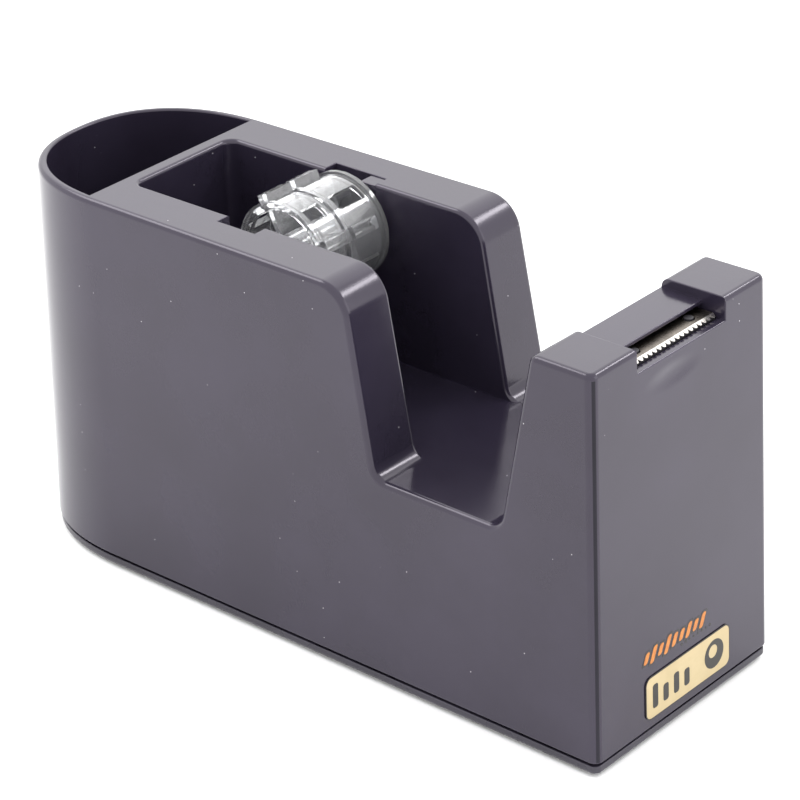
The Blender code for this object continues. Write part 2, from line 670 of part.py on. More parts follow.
def make_blade_carrier():
    """The bar under the blade, with two studs that the blade's holes drop over."""
    low = (POCKET_REAR_X + FIT_GAP, -CHANNEL_HALF_WIDTH + FIT_GAP, carrier_floor())
    high = (POCKET_FRONT_X - FIT_GAP, CHANNEL_HALF_WIDTH - FIT_GAP, carrier_top())
    carrier = box("blade_carrier", low, high, PARTS)
    as_part(carrier, "carrier_plastic")
    for index, y in enumerate((-STUD_Y, STUD_Y)):
        stud = cylinder(f"carrier_stud_{index}", STUD_R, (STUD_X, y, carrier_top() - CARRIER_HEIGHT / 2),
                        (STUD_X, y, carrier_top() + FIT_GAP + BLADE_THICK + FIT_GAP), CUTTERS, segments=16)
        join(carrier, stud)
    for index, y in enumerate((-CARRIER_SCREW_Y, CARRIER_SCREW_Y)):
        pilot = cylinder(f"carrier_pilot_{index}", CARRIER_SCREW_R + FIT_GAP,
                         (CARRIER_SCREW_X, y, carrier_floor() - OVERCUT),
                         (CARRIER_SCREW_X, y, carrier_top() - FIT_GAP * 2), CUTTERS, segments=16)
        cut(carrier, pilot)


def make_carrier_screws():
    seat = HEIGHT - POCKET_FLOOR_DROP - WALL - FIT_GAP
    x = CARRIER_SCREW_X
    for name, y in (("carrier_screw_near", -CARRIER_SCREW_Y), ("carrier_screw_far", CARRIER_SCREW_Y)):
        screw = cylinder(name, CARRIER_HEAD_R, (x, y, seat - CARRIER_HEAD_THICK), (x, y, seat), PARTS, segments=20)
        as_part(screw, "screw_steel")
        shank = cylinder(f"{name}_shank", CARRIER_SCREW_R, (x, y, seat - CARRIER_HEAD_THICK / 2),
                         (x, y, seat + CARRIER_SCREW_LENGTH), CUTTERS, segments=16)
        join(screw, shank)
        smooth_round(screw)


# ---------------------------------------------------------------- tape hub

def hub_tube(name, radius, low_y, high_y, segments=48, collection=CUTTERS):
    return cylinder(name, radius, (HUB_X, low_y, HUB_Z), (HUB_X, high_y, HUB_Z), collection, "Y", segments)


def hub_box(name, reach, width, low_y, high_y, turn):
    """A box that stands out from the hub's axis, between two distances from it, turned about it."""
    block = box(name, (reach[0], low_y, -width / 2), (reach[1], high_y, width / 2), CUTTERS)
    turned = Matrix.Translation((HUB_X, 0.0, HUB_Z)) @ Matrix.Rotation(-turn, 4, "Y")
    block.matrix_world = turned @ Matrix.Translation(block.location)
    return block


def make_hub_half(name, low_y, high_y, rib_ends, window_ends):
    """A drum with ribs and windows, round a bearing sleeve on webs."""
    half = hub_tube(name, DRUM_R, low_y, high_y, 64, PARTS)
    as_part(half, "clear_plastic")
    bore_r = DRUM_R - DRUM_WALL
    cut(half, hub_tube(f"{name}_hollow", bore_r, low_y - OVERCUT, high_y + OVERCUT))
    turns = [RIB_TURN + index * 2.0 * pi / RIB_COUNT for index in range(RIB_COUNT)]
    for index, turn in enumerate(turns):
        join(half, hub_box(f"{name}_rib_{index}", (DRUM_R - DRUM_WALL / 2, RIB_R), RIB_WIDTH, *rib_ends, turn))
        cut(half, hub_box(f"{name}_window_{index}", (bore_r - DRUM_WALL, RIB_R), WINDOW_WIDTH, *window_ends,
                          turn + WINDOW_TURN))
    sleeve_r = AXLE_R + AXLE_CLEAR + SLEEVE_WALL
    join(half, hub_tube(f"{name}_sleeve", sleeve_r, low_y + FIT_GAP / 2, high_y - FIT_GAP / 2, 24))
    for index, turn in enumerate(turns[:RIB_COUNT // 2]):
        web_gap = FIT_GAP * (2 + index)
        web_reach = bore_r + DRUM_WALL / 4
        join(half, hub_box(f"{name}_web_{index}", (-web_reach, web_reach), WEB_THICK, low_y + web_gap,
                           high_y - web_gap, turn))
    return half


def bore_half(half):
    cut(half, hub_tube(f"{half.name}_bore", AXLE_R + AXLE_CLEAR, -WIDTH, WIDTH, 24))
    return smooth_round(half)


def end_ring(name, low_y):
    ring = hub_tube(name, RING_R, low_y, low_y + RING_THICK, 64)
    return cut(ring, hub_tube(f"{name}_hollow", DRUM_R - DRUM_WALL / 2, low_y - OVERCUT, low_y + OVERCUT))


def make_hub():
    flanged_y = DRUM_SPLIT_Y + 1.5 * FIT_GAP
    ribs = (flanged_y + RING_THICK / 2, FLANGE_NEAR_Y - RIB_END_GAP)
    windows = (flanged_y + RING_THICK + WINDOW_RIM, FLANGE_NEAR_Y - WINDOW_RIM)
    flanged = make_hub_half("hub_flanged_half", flanged_y, FLANGE_NEAR_Y + RING_THICK / 2, ribs, windows)
    join(flanged, end_ring("middle_ring", flanged_y - FIT_GAP / 2))
    join(flanged, hub_tube("flange", RING_R, FLANGE_NEAR_Y, FLANGE_FAR_Y, 64))
    bore_half(flanged)
    ribs = (DRUM_NEAR_Y - RING_THICK / 4, DRUM_SPLIT_Y - FIT_GAP)
    windows = (DRUM_NEAR_Y + RING_THICK / 2 + WINDOW_RIM, DRUM_SPLIT_Y - WINDOW_RIM)
    plain = make_hub_half("hub_plain_half", DRUM_NEAR_Y, DRUM_SPLIT_Y, ribs, windows)
    join(plain, end_ring("near_ring", DRUM_NEAR_Y - RING_THICK / 2))
    bore_half(plain)


def make_hub_axle():
    """A pin with flats on its ends, which keep it from turning in its slots."""
    reach = WELL_HALF_WIDTH + SEAT_DEPTH - FIT_GAP
    axle = cylinder("hub_axle", AXLE_R, (HUB_X, -reach, HUB_Z), (HUB_X, reach, HUB_Z), PARTS, "Y", 24)
    as_part(axle, "clear_plastic")
    flat_start = WELL_HALF_WIDTH - 2 * FIT_GAP
    for side, end in ((-1, "near"), (1, "far")):
        for face, where in ((-1, "rear"), (1, "front")):
            x_low, x_high = sorted((HUB_X + face * (AXLE_R - AXLE_FLAT_CUT), HUB_X + face * 2 * AXLE_R))
            y_low, y_high = sorted((side * flat_start, side * (reach + OVERCUT)))
            flat = box(f"axle_flat_{end}_{where}", (x_low, y_low, HUB_Z - 2 * AXLE_R),
                       (x_high, y_high, HUB_Z + 2 * AXLE_R), CUTTERS)
            cut(axle, flat)
    smooth_round(axle)


# ---------------------------------------------------------------- label

def make_label():
    """A thin rounded sticker that lies on the leaning front face."""
    lean = atan2(FRONT_DRAFT, 1.0)
    points = rounded_rectangle(LABEL_WIDTH / 2.0, LABEL_HEIGHT / 2.0, LABEL_CORNER_R)
    label = flat_outline("front_label", points, LABEL_THICK, PARTS)
    as_part(label, "label_film")
    outward = LABEL_GAP + LABEL_THICK / 2.0
    stand_up = Matrix(((0, 0, 1), (1, 0, 0), (0, 1, 0))).to_4x4()
    tip_back = Matrix.Rotation(-lean, 4, "Y")
    place = Matrix.Translation((front_x(LABEL_Z) + outward, LABEL_Y, LABEL_Z))
    label.matrix_world = place @ tip_back @ stand_up


def main():
    make_housing()
    make_base_plate()
    make_ballast()
    make_feet()
    make_base_screws()
    make_blade_carrier()
    make_blade()
    make_carrier_screws()
    make_hub()
    make_hub_axle()
    make_label()


main()
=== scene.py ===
"""Looks of a weighted desktop tape dispenser with a pen cup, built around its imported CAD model.

Frame: X runs along the length with the blade tower at +X, Y across the width, +Z up.
Everything is in metres. Places and overall sizes come from the CAD nodes' boxes.
"""

from math import atan2, cos, pi, radians, sin, sqrt, tan

import bmesh
import bpy
from mathutils import Matrix, Vector


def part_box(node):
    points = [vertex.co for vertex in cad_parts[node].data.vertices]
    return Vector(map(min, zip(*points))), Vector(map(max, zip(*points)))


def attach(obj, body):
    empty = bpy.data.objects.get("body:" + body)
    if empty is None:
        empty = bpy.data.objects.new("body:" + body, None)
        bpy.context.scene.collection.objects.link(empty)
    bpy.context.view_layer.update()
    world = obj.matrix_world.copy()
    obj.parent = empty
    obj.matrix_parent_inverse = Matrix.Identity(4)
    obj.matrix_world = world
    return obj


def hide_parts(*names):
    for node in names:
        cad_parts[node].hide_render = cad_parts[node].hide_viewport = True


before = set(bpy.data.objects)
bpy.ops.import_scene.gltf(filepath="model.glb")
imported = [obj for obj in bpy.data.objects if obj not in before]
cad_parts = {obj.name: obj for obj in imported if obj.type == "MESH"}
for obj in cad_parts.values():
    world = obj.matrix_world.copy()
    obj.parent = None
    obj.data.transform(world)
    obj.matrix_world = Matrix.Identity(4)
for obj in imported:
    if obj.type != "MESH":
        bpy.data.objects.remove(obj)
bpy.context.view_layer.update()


# ---------------------------------------------------------------- sizes from the frame

PLATE_LOW, PLATE_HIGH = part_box("base_plate")
SHELL_LOW, SHELL_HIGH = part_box("housing")
BLADE_LOW, BLADE_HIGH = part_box("cutting_blade")
BALLAST_LOW, BALLAST_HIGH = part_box("ballast_block")
AXLE_LOW, AXLE_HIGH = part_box("hub_axle")
FLANGED_LOW, FLANGED_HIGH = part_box("hub_flanged_half")
PLAIN_LOW, PLAIN_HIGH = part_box("hub_plain_half")
LABEL_LOW, LABEL_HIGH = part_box("front_label")

GAP = 0.0003                  # clearance between neighbouring pieces
HEIGHT = SHELL_HIGH.z
PLATE_Z = PLATE_LOW.z         # underside of the base plate
PLATE_THICK = 0.0019
PLATE_INSET = 0.0003          # the plate's edge, in from the housing's outline
SHELL_Z = SHELL_LOW.z         # lower edge of the housing
FRONT_X = PLATE_HIGH.x + PLATE_INSET
REAR_X = PLATE_LOW.x - PLATE_INSET
HALF_WIDTH = PLATE_HIGH.y + PLATE_INSET
SKIN = 0.0001                 # how near a point has to be to count as on a face
OVERCUT = 0.010               # how far a cutting shape reaches past what it cuts

# Body outline: tapers and drafts are slopes, the rear end is a superellipse
SIDE_TAPER = 0.012
SIDE_DRAFT = 0.013
FRONT_DRAFT = 0.021
REAR_DRAFT = 0.020
REAR_DEPTH = 0.0351
REAR_POWER = 2.33
NEAR_CORNER_R = 0.0020
FAR_CORNER_R = 0.0021
LEAST_R = 0.0004              # the smallest radius that an inset corner keeps
WALL = 0.0025

# Notch between the body and the tower
FLOOR_Z = 0.0490
TOWER_LENGTH = 0.0250
NOTCH_LENGTH = 0.0328
NOTCH_FRONT_X = FRONT_X - TOWER_LENGTH
NOTCH_REAR_X = NOTCH_FRONT_X - NOTCH_LENGTH
BODY_SLOPE = 0.174
TOWER_SLOPE = 0.190
BODY_TOP_R = 0.0080
TOWER_TOP_R = 0.0020
REAR_FOOT_R = 0.0035
FRONT_FOOT_R = 0.0040

# Well and cup
CUP_LENGTH = 0.0347           # with the divider
WELL_HALF_WIDTH = 0.0150
WELL_REAR_X = REAR_X + CUP_LENGTH
WELL_CORNER_R = 0.0025
DIVIDER = 0.0036
CUP_WALL = 0.0020
CUP_FLOOR_Z = 0.0200

# Hub and seats
HUB = (AXLE_LOW + AXLE_HIGH) / 2.0
AXLE_R = (AXLE_HIGH.z - AXLE_LOW.z) / 2.0
AXLE_FLAT_CUT = 0.0005
SEAT_DEPTH = 0.0038
SEAT_POCKET_HALF = 0.0071
SEAT_POCKET_DEPTH = 0.0058
SEAT_TAB_DROP = 0.0003
SEAT_TAB_THICK = 0.0014
SLEEVE_WALL = 0.0014
WEB_THICK = 0.0012
RING_R = 0.0120
RING_THICK = 0.0010
DRUM_R = 0.0114
DRUM_WALL = 0.0014
RIB_R = 0.0136
RIB_WIDTH = 0.0027
RIB_COUNT = 4
RIB_TURN = radians(113.0)
RIB_END_GAP = 0.0033
WINDOW_TURN = radians(-53.0)
WINDOW_WIDTH = 0.0040
WINDOW_RIM = 0.0010

# Tower top
CHANNEL_HALF_WIDTH = 0.0145
TROUGH_DEPTH = 0.0050
PLATFORM_DROP = 0.0021
TOWER_LIP = 0.0038
POCKET_LENGTH = 0.0092
POCKET_FRONT_X = FRONT_X - TOWER_LIP
POCKET_REAR_X = POCKET_FRONT_X - POCKET_LENGTH
POCKET_FLOOR_DROP = 0.0074
PLATFORM_OVERHANG = 0.0055
PLATFORM_FRONT_X = POCKET_REAR_X + PLATFORM_OVERHANG
PLATFORM_LIP = 0.0009

# Base plate and the bosses that its screws go into
PLATE_EDGE_R = 0.0008
PLATE_TOP_R = 0.0002
CRADLE_WALL = 0.0015
HEAD_R = 0.0027
HEAD_THICK = 0.0012
SCREW_R = 0.0014
BOSS_R = 0.0036
BOSS_TOP_Z = 0.0180

# Material slots of the housing, and which of its faces take the painted dark reflection: a darker, duller
# strip along the near front corner, where it faces the camera
DARK_REFLECTION = 1
INSIDE = 2
DARK_REFLECTION_TURN = (0.74, 0.90)    # limits of the normal's X
DARK_REFLECTION_LEAN = 0.10            # limit of the normal's Z

# Edge roundings
OUTER_EDGE_R = 0.0013
WELL_EDGE_R = 0.0010
RIM_EDGE_R = 0.0005
HEM_EDGE_R = 0.0003
SMALL_EDGE_R = 0.00025
CLEAR_EDGE_R = 0.00012
CARRIER_EDGE_R = 0.00015
BALLAST_EDGE_R = 0.0006
FOOT_EDGE_R = 0.0003
SCREW_EDGE_R = 0.0001
DRESS_ANGLE = 40.0
DRESS_SEGMENTS = 3
WELD_REACH = 0.000003

# Worn edges: the cosines of the turn where the wear starts and where it is full
WORN_TURN = (0.995, 0.90)
WORN_REACH = 0.0006

# Blade
TOOTH_PITCH = 0.0015
TOOTH_DEPTH = 0.0009
TOOTH_STEPS = 8
TOOTH_POWER = 0.8
GRIND_LENGTH = 0.0010
GRIND_DROP = 0.0004
GROUND_TURN = 0.1             # least X of the normal on the ground faces
STUD_SETBACK = 0.0030
STUD_X = POCKET_FRONT_X - STUD_SETBACK
STUD_Y = 0.0090
STUD_R = 0.0010

# Sink mark below the slot
SINK_DROP = 0.0095
SINK_Y = -0.0030
SINK_SCALE = (250.0, 95.0, 300.0)    # one over its reach along X, Y and Z
SINK_DEPTH = 0.00035

# Label and motif
FILM = 0.00003
LABEL_GAP = 0.0001
LABEL_THICK = 0.00015
LABEL_CORNER_R = 0.0018
FRAME_WIDTH = 0.00025
MARK_R = 0.0033
MARK_PLACE = 0.62             # of the label's half width
EYE_SHIFT = (-0.12, 0.22)     # across and up, in mark radii
EYE_SIZE = 0.45               # in mark radii
BAR_HEIGHTS = (0.0056, 0.0040, 0.0048, 0.0040)
BAR_WIDTH = 0.0018
BAR_PITCH = 0.0036
BARS_START = 0.78             # of the label's half width
MOTIF_WIDTH = 0.0215
MOTIF_SHIFT_Y = -0.0042
MOTIF_RAISE = 0.0047
STROKE_HEIGHTS = (0.0024, 0.0036, 0.0024, 0.0038, 0.0028, 0.0024, 0.0032, 0.0024, 0.0032)
STROKE_WIDTH = 0.0013
STROKE_EDGE = 0.0004
STROKE_LEAN = 0.45
DOT_COUNT = 8
DOT_START = 0.61              # of the motif width
DOT_PITCH = 0.0014
DOT_DROP = 0.0024
DOT_R = 0.00035

# Floor, light and camera
FLOOR_HALF = 3.0
WORLD_LEVEL = 1.75
BACK_LEVEL = 0.75
FRONT_LEVEL = 1.2
STREAK_LEVEL = 14.0
LEFT_LEVEL = 5.0
CAMERA_AZIMUTH = 41.097
CAMERA_ELEVATION = 27.489
CAMERA_ROLL = -1.864
CAMERA_DISTANCE = 0.717126
CAMERA_TARGET = (0.00989, 0.0, 0.050049)
CAMERA_LENS = 152.16
CAMERA_SENSOR = 36.0
CAMERA_CLIP = (0.01, 10.0)


# ---------------------------------------------------------------- mesh helpers

def new_object(name, mesh):
    piece = bpy.data.objects.new(name, mesh)
    bpy.context.scene.collection.objects.link(piece)
    return piece


def from_bmesh(name, shape):
    bmesh.ops.recalc_face_normals(shape, faces=shape.faces)
    mesh = bpy.data.meshes.new(name)
    shape.to_mesh(mesh)
    shape.free()
    return new_object(name, mesh)


def box(name, low, high):
    shape = bmesh.new()
    size = [b - a for a, b in zip(low, high)]
    centre = [(a + b) / 2.0 for a, b in zip(low, high)]
    place = Matrix.Translation(centre) @ Matrix.Diagonal((*size, 1.0))
    bmesh.ops.create_cube(shape, size=1.0, matrix=place)
    return from_bmesh(name, shape)


def loft(name, rings):
    """A closed solid through rings of points, with the same number of points in each."""
    shape = bmesh.new()
    loops = [[shape.verts.new(point) for point in ring] for ring in rings]
    count = len(loops[0])
    for lower, upper in zip(loops, loops[1:]):
        for index in range(count):
            following = (index + 1) % count
            shape.faces.new((lower[index], lower[following], upper[following], upper[index]))
    shape.faces.new(loops[0])
    shape.faces.new(loops[-1])
    return from_bmesh(name, shape)


def standing(name, levels):
    """A loft through plan outlines, each given with its height."""
    return loft(name, [[(x, y, z) for x, y in outline] for outline, z in levels])


def prism(name, outline, low_y, high_y):
    """An outline in X and Z, extruded across the width."""
    return loft(name, [[(x, y, z) for x, z in outline] for y in (low_y, high_y)])


def tube(name, radius, low_y, high_y, segments=128):
    """A round bar along the hub's axis."""
    outline = arc((HUB.x, HUB.z), radius, 0.0, 2.0 * pi, segments)[:-1]
    return prism(name, outline, low_y, high_y)


def pin(name, radius, x, y, low_z, high_z, segments=48):
    """A round bar along Z."""
    outline = arc((x, y), radius, 0.0, 2.0 * pi, segments)[:-1]
    return standing(name, [(outline, low_z), (outline, high_z)])


def bake(piece):
    """Applies the modifiers to the mesh."""
    bpy.context.view_layer.update()
    evaluated = piece.evaluated_get(bpy.context.evaluated_depsgraph_get())
    mesh = bpy.data.meshes.new_from_object(evaluated)
    piece.modifiers.clear()
    piece.data = mesh
    return piece


def combine(piece, operation, tools):
    """Applies one boolean operation with each tool, and removes the tools."""
    for tool in tools:
        modifier = piece.modifiers.new(tool.name, "BOOLEAN")
        modifier.operation = operation
        modifier.solver = "EXACT"
        modifier.object = tool
    bake(piece)
    for tool in tools:
        bpy.data.objects.remove(tool, do_unlink=True)
    return piece


def cut(piece, *tools):
    return combine(piece, "DIFFERENCE", tools)


def join(piece, *tools):
    return combine(piece, "UNION", tools)


def arc(centre, radius, start, end, segments):
    step = (end - start) / segments
    return [
        (centre[0] + radius * cos(start + step * index), centre[1] + radius * sin(start + step * index))
        for index in range(segments + 1)
    ]


def rounded_corner(before, corner, after, radius, segments):
    """Points of the arc that rounds the corner between two straight edges."""
    back = (Vector(before) - Vector(corner)).normalized()
    ahead = (Vector(after) - Vector(corner)).normalized()
    half = back.angle(ahead) / 2.0
    centre = Vector(corner) + (back + ahead).normalized() * (radius / sin(half))
    first = Vector(corner) + back * (radius / tan(half)) - centre
    last = Vector(corner) + ahead * (radius / tan(half)) - centre
    start = atan2(first.y, first.x)
    sweep = atan2(last.y, last.x) - start
    sweep = (sweep + pi) % (2.0 * pi) - pi
    return arc(tuple(centre), radius, start, start + sweep, segments)


def rounded_rectangle(half_u, half_v, radius, centre=(0.0, 0.0), segments=8):
    points = []
    for index, (u, v) in enumerate(((1, 1), (-1, 1), (-1, -1), (1, -1))):
        middle = (centre[0] + u * (half_u - radius), centre[1] + v * (half_v - radius))
        points += arc(middle, radius, index * pi / 2, (index + 1) * pi / 2, segments)
    return points


def weld(piece):
    """Joins the vertices that a clamped bevel leaves in the same place, so that no loose sliver remains."""
    shape = bmesh.new()
    shape.from_mesh(piece.data)
    bmesh.ops.remove_doubles(shape, verts=shape.verts, dist=WELD_REACH)
    bmesh.ops.dissolve_degenerate(shape, edges=shape.edges, dist=WELD_REACH)
    shape.to_mesh(piece.data)
    shape.free()
    return piece


def round_edges(piece, width, pick=None, segments=4, angle=30.0, clamp=False):
    """Rounds the convex edges. pick gives each edge's radius from its middle point, up to width."""
    shape = bmesh.new()
    shape.from_mesh(piece.data)
    weight = shape.edges.layers.float.new("bevel_weight_edge")
    for edge in shape.edges:
        if len(edge.link_faces) == 2 and edge.calc_face_angle_signed(0.0) > radians(angle):
            middle = (edge.verts[0].co + edge.verts[1].co) / 2.0
            edge[weight] = 1.0 if pick is None else pick(middle, edge) / width
    shape.to_mesh(piece.data)
    shape.free()
    bevel = piece.modifiers.new("edges", "BEVEL")
    bevel.limit_method = "WEIGHT"
    bevel.width = width
    bevel.segments = segments
    bevel.use_clamp_overlap = clamp
    bevel.loop_slide = False
    bake(piece)
    return weld(piece) if clamp else piece


def even_shading(piece, angle=35.0):
    """Smooth shading that leaves the large flat faces flat."""
    piece.data.shade_smooth()
    piece.data.set_sharp_from_angle(angle=radians(angle))
    weighted = piece.modifiers.new("shading", "WEIGHTED_NORMAL")
    weighted.keep_sharp = True
    return piece


def place(piece, body, slot, material, *nodes):
    """Gives a piece its material and body, and hides the CAD nodes that it stands for."""
    if material is not None:
        piece.data.materials.clear()
        piece.data.materials.append(material)
    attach(piece, body)
    if nodes:
        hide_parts(*nodes)
    return piece


# ---------------------------------------------------------------- body outline

def front_x(z, inset=0.0):
    """Where the leaning front face is at one height."""
    return FRONT_X - FRONT_DRAFT * (z - PLATE_Z) - inset


def side_y(x, z, inset=0.0):
    """Half the body's width, which narrows to the rear and to the top."""
    return HALF_WIDTH - SIDE_TAPER * (FRONT_X - x) - SIDE_DRAFT * (z - PLATE_Z) - inset


def rear_points(z, inset=0.0, limit_x=None, steps=96):
    """The rounded rear end, from the far side to the near side, cut off at limit_x."""
    centre_x = REAR_X + REAR_DEPTH
    reach = REAR_DEPTH - REAR_DRAFT * (z - PLATE_Z) - inset
    half = side_y(centre_x, z, inset)
    power = 2.0 / REAR_POWER
    start = pi / 2
    if limit_x is not None:
        share = ((centre_x - limit_x) / reach) ** (1.0 / power)
        start = atan2(sqrt(1.0 - share * share), share)
    points = []
    for index in range(steps + 1):
        angle = start - 2.0 * start * index / steps
        side = 1.0 if angle > 0 else -1.0
        along = max(cos(angle), 0.0) ** power
        points.append((centre_x - reach * along, side * half * abs(sin(angle)) ** power))
    return points


def body_outline(z, inset=0.0):
    """The body's plan outline at one height, moved inwards by the inset."""
    near_r = max(NEAR_CORNER_R - inset, LEAST_R)
    far_r = max(FAR_CORNER_R - inset, LEAST_R)
    x = front_x(z, inset)
    y = side_y(x, z, inset)
    near = arc((x - near_r, -y + near_r), near_r, -pi / 2, 0.0, 8)
    far = arc((x - far_r, y - far_r), far_r, 0.0, pi / 2, 10)
    return near + far + rear_points(z, inset)


def notch_outline(grow=0.0):
    """Side outline of the space between body and tower, grown outwards by a wall."""
    top = HEIGHT - grow
    floor = FLOOR_Z - grow
    body_shift = grow * sqrt(1.0 + BODY_SLOPE ** 2)
    tower_shift = grow * sqrt(1.0 + TOWER_SLOPE ** 2)

    def body_x(z):
        return NOTCH_REAR_X - BODY_SLOPE * (z - FLOOR_Z) - body_shift

    def tower_x(z):
        return NOTCH_FRONT_X + TOWER_SLOPE * (z - FLOOR_Z) + tower_shift

    body_top = (body_x(top), top)
    body_foot = (body_x(floor), floor)
    tower_foot = (tower_x(floor), floor)
    tower_top = (tower_x(top), top)
    length = FRONT_X - REAR_X
    before = (body_top[0] - length, top)
    after = (tower_top[0] + length, top)
    points = rounded_corner(before, body_top, body_foot, max(BODY_TOP_R - grow, LEAST_R), 20)
    points += rounded_corner(body_top, body_foot, tower_foot, REAR_FOOT_R + grow, 12)
    points += rounded_corner(body_foot, tower_foot, tower_top, FRONT_FOOT_R + grow, 12)
    points += rounded_corner(tower_foot, tower_top, after, max(TOWER_TOP_R - grow, LEAST_R), 8)
    points.append((points[-1][0], HEIGHT + OVERCUT))
    points.append((points[0][0], HEIGHT + OVERCUT))
    return points


# ---------------------------------------------------------------- housing

def boss_places():
    """Where the six base screws stand in plan, from the CAD's own screws."""
    places = []
    for row in ("front", "middle", "rear"):
        for side in ("near", "far"):
            low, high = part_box(f"base_screw_{row}_{side}")
            places.append(((low.x + high.x) / 2.0, (low.y + high.y) / 2.0))
    return places


def seat_reach(side, grow=0.0):
    """From inside the well to the bottom of the seat in one side wall, as low and high Y."""
    inner = WELL_HALF_WIDTH - OVERCUT / 4
    outer = WELL_HALF_WIDTH + SEAT_DEPTH + grow
    return sorted((side * inner, side * outer))


def make_core():
    """The hollow inside the housing, which keeps a wall's thickness from every opening and boss."""
    bottom = SHELL_Z - OVERCUT
    top = HEIGHT - WALL
    core = standing("core", ((body_outline(bottom, WALL), bottom), (body_outline(top, WALL), top)))
    high = HEIGHT + OVERCUT
    across = 2.0 * HALF_WIDTH
    notch = prism("core_notch", notch_outline(WALL), -across, across)
    well = box("core_well", (WELL_REAR_X - WALL, -WELL_HALF_WIDTH - WALL, FLOOR_Z - WALL),
               (NOTCH_REAR_X + WALL, WELL_HALF_WIDTH + WALL, high))
    cup = box("core_cup", (2.0 * REAR_X, -across, CUP_FLOOR_Z - WALL),
              (WELL_REAR_X - DIVIDER + WALL, across, high))
    channel = CHANNEL_HALF_WIDTH + WALL
    tower = box("core_tower", (POCKET_REAR_X - WALL, -channel, HEIGHT - POCKET_FLOOR_DROP - WALL),
                (2.0 * FRONT_X, channel, high))
    platform = box("core_platform", (NOTCH_FRONT_X, -channel, HEIGHT - PLATFORM_DROP - WALL),
                   (2.0 * FRONT_X, channel, high))
    seats = []
    for side, name in ((-1, "near"), (1, "far")):
        low_y, high_y = seat_reach(side, WALL)
        seats.append(box(f"core_seat_{name}",
                         (HUB.x - SEAT_POCKET_HALF - WALL, low_y, HUB.z - AXLE_R - GAP - WALL),
                         (HUB.x + SEAT_POCKET_HALF + WALL, high_y, high)))
    bosses = [pin(f"core_boss_{index}", BOSS_R, x, y, SHELL_Z - 2.0 * OVERCUT, BOSS_TOP_Z)
              for index, (x, y) in enumerate(boss_places())]
    return cut(core, notch, well, cup, tower, platform, *seats, *bosses)


def seat_cutters(side, name):
    """Pocket, lead-in and slot that take one end of the hub's axle."""
    low_y, high_y = seat_reach(side)
    slot_half = AXLE_R + GAP
    tab_x = HUB.x + slot_half + GAP
    tab_top = HEIGHT - SEAT_TAB_DROP
    tab_bottom = tab_top - SEAT_TAB_THICK
    pocket_z = HEIGHT - SEAT_POCKET_DEPTH
    rear_x = HUB.x - SEAT_POCKET_HALF
    front = HUB.x + SEAT_POCKET_HALF
    high = HEIGHT + OVERCUT
    below = box(f"seat_pocket_{name}", (rear_x, low_y, pocket_z), (front, high_y, tab_bottom))
    behind = box(f"seat_mouth_{name}", (rear_x, low_y, tab_bottom - GAP), (tab_x, high_y, high))
    above = box(f"seat_lead_{name}", (tab_x - GAP, low_y, tab_top), (front, high_y, high))
    outline = arc((HUB.x, HUB.z), slot_half, pi, 2.0 * pi, 24)
    outline += [(HUB.x + slot_half, pocket_z + GAP), (HUB.x - slot_half, pocket_z + GAP)]
    return [below, behind, above, prism(f"seat_slot_{name}", outline, low_y, high_y)]


def housing_edge_radius(middle, edge):
    """The rounding of a housing edge, from where it lies."""
    if any(face.material_index == INSIDE for face in edge.link_faces):
        return 0.0
    if middle.z < SHELL_Z + SKIN:
        return HEM_EDGE_R
    if middle.x < WELL_REAR_X - DIVIDER + SKIN:
        inner = rear_half_width(middle.x, middle.z, CUP_WALL / 2.0)
        return RIM_EDGE_R if abs(middle.y) < inner else OUTER_EDGE_R
    on_rim = abs(middle.y) > side_y(middle.x, middle.z) - NEAR_CORNER_R
    if on_rim or (middle.x > front_x(middle.z) - SKIN and abs(middle.y) > CHANNEL_HALF_WIDTH):
        return OUTER_EDGE_R
    if abs(middle.x - HUB.x) < SEAT_POCKET_HALF + SKIN:
        return SMALL_EDGE_R
    if middle.x < NOTCH_FRONT_X - FRONT_FOOT_R:
        return WELL_EDGE_R
    return SMALL_EDGE_R


def rear_half_width(x, z, inset):
    """Half the width of the rounded rear end, at one place along it."""
    centre_x = REAR_X + REAR_DEPTH
    reach = REAR_DEPTH - REAR_DRAFT * (z - PLATE_Z) - inset
    share = min(max((centre_x - x) / reach, 0.0), 1.0)
    return side_y(centre_x, z, inset) * (1.0 - share ** REAR_POWER) ** (1.0 / REAR_POWER)


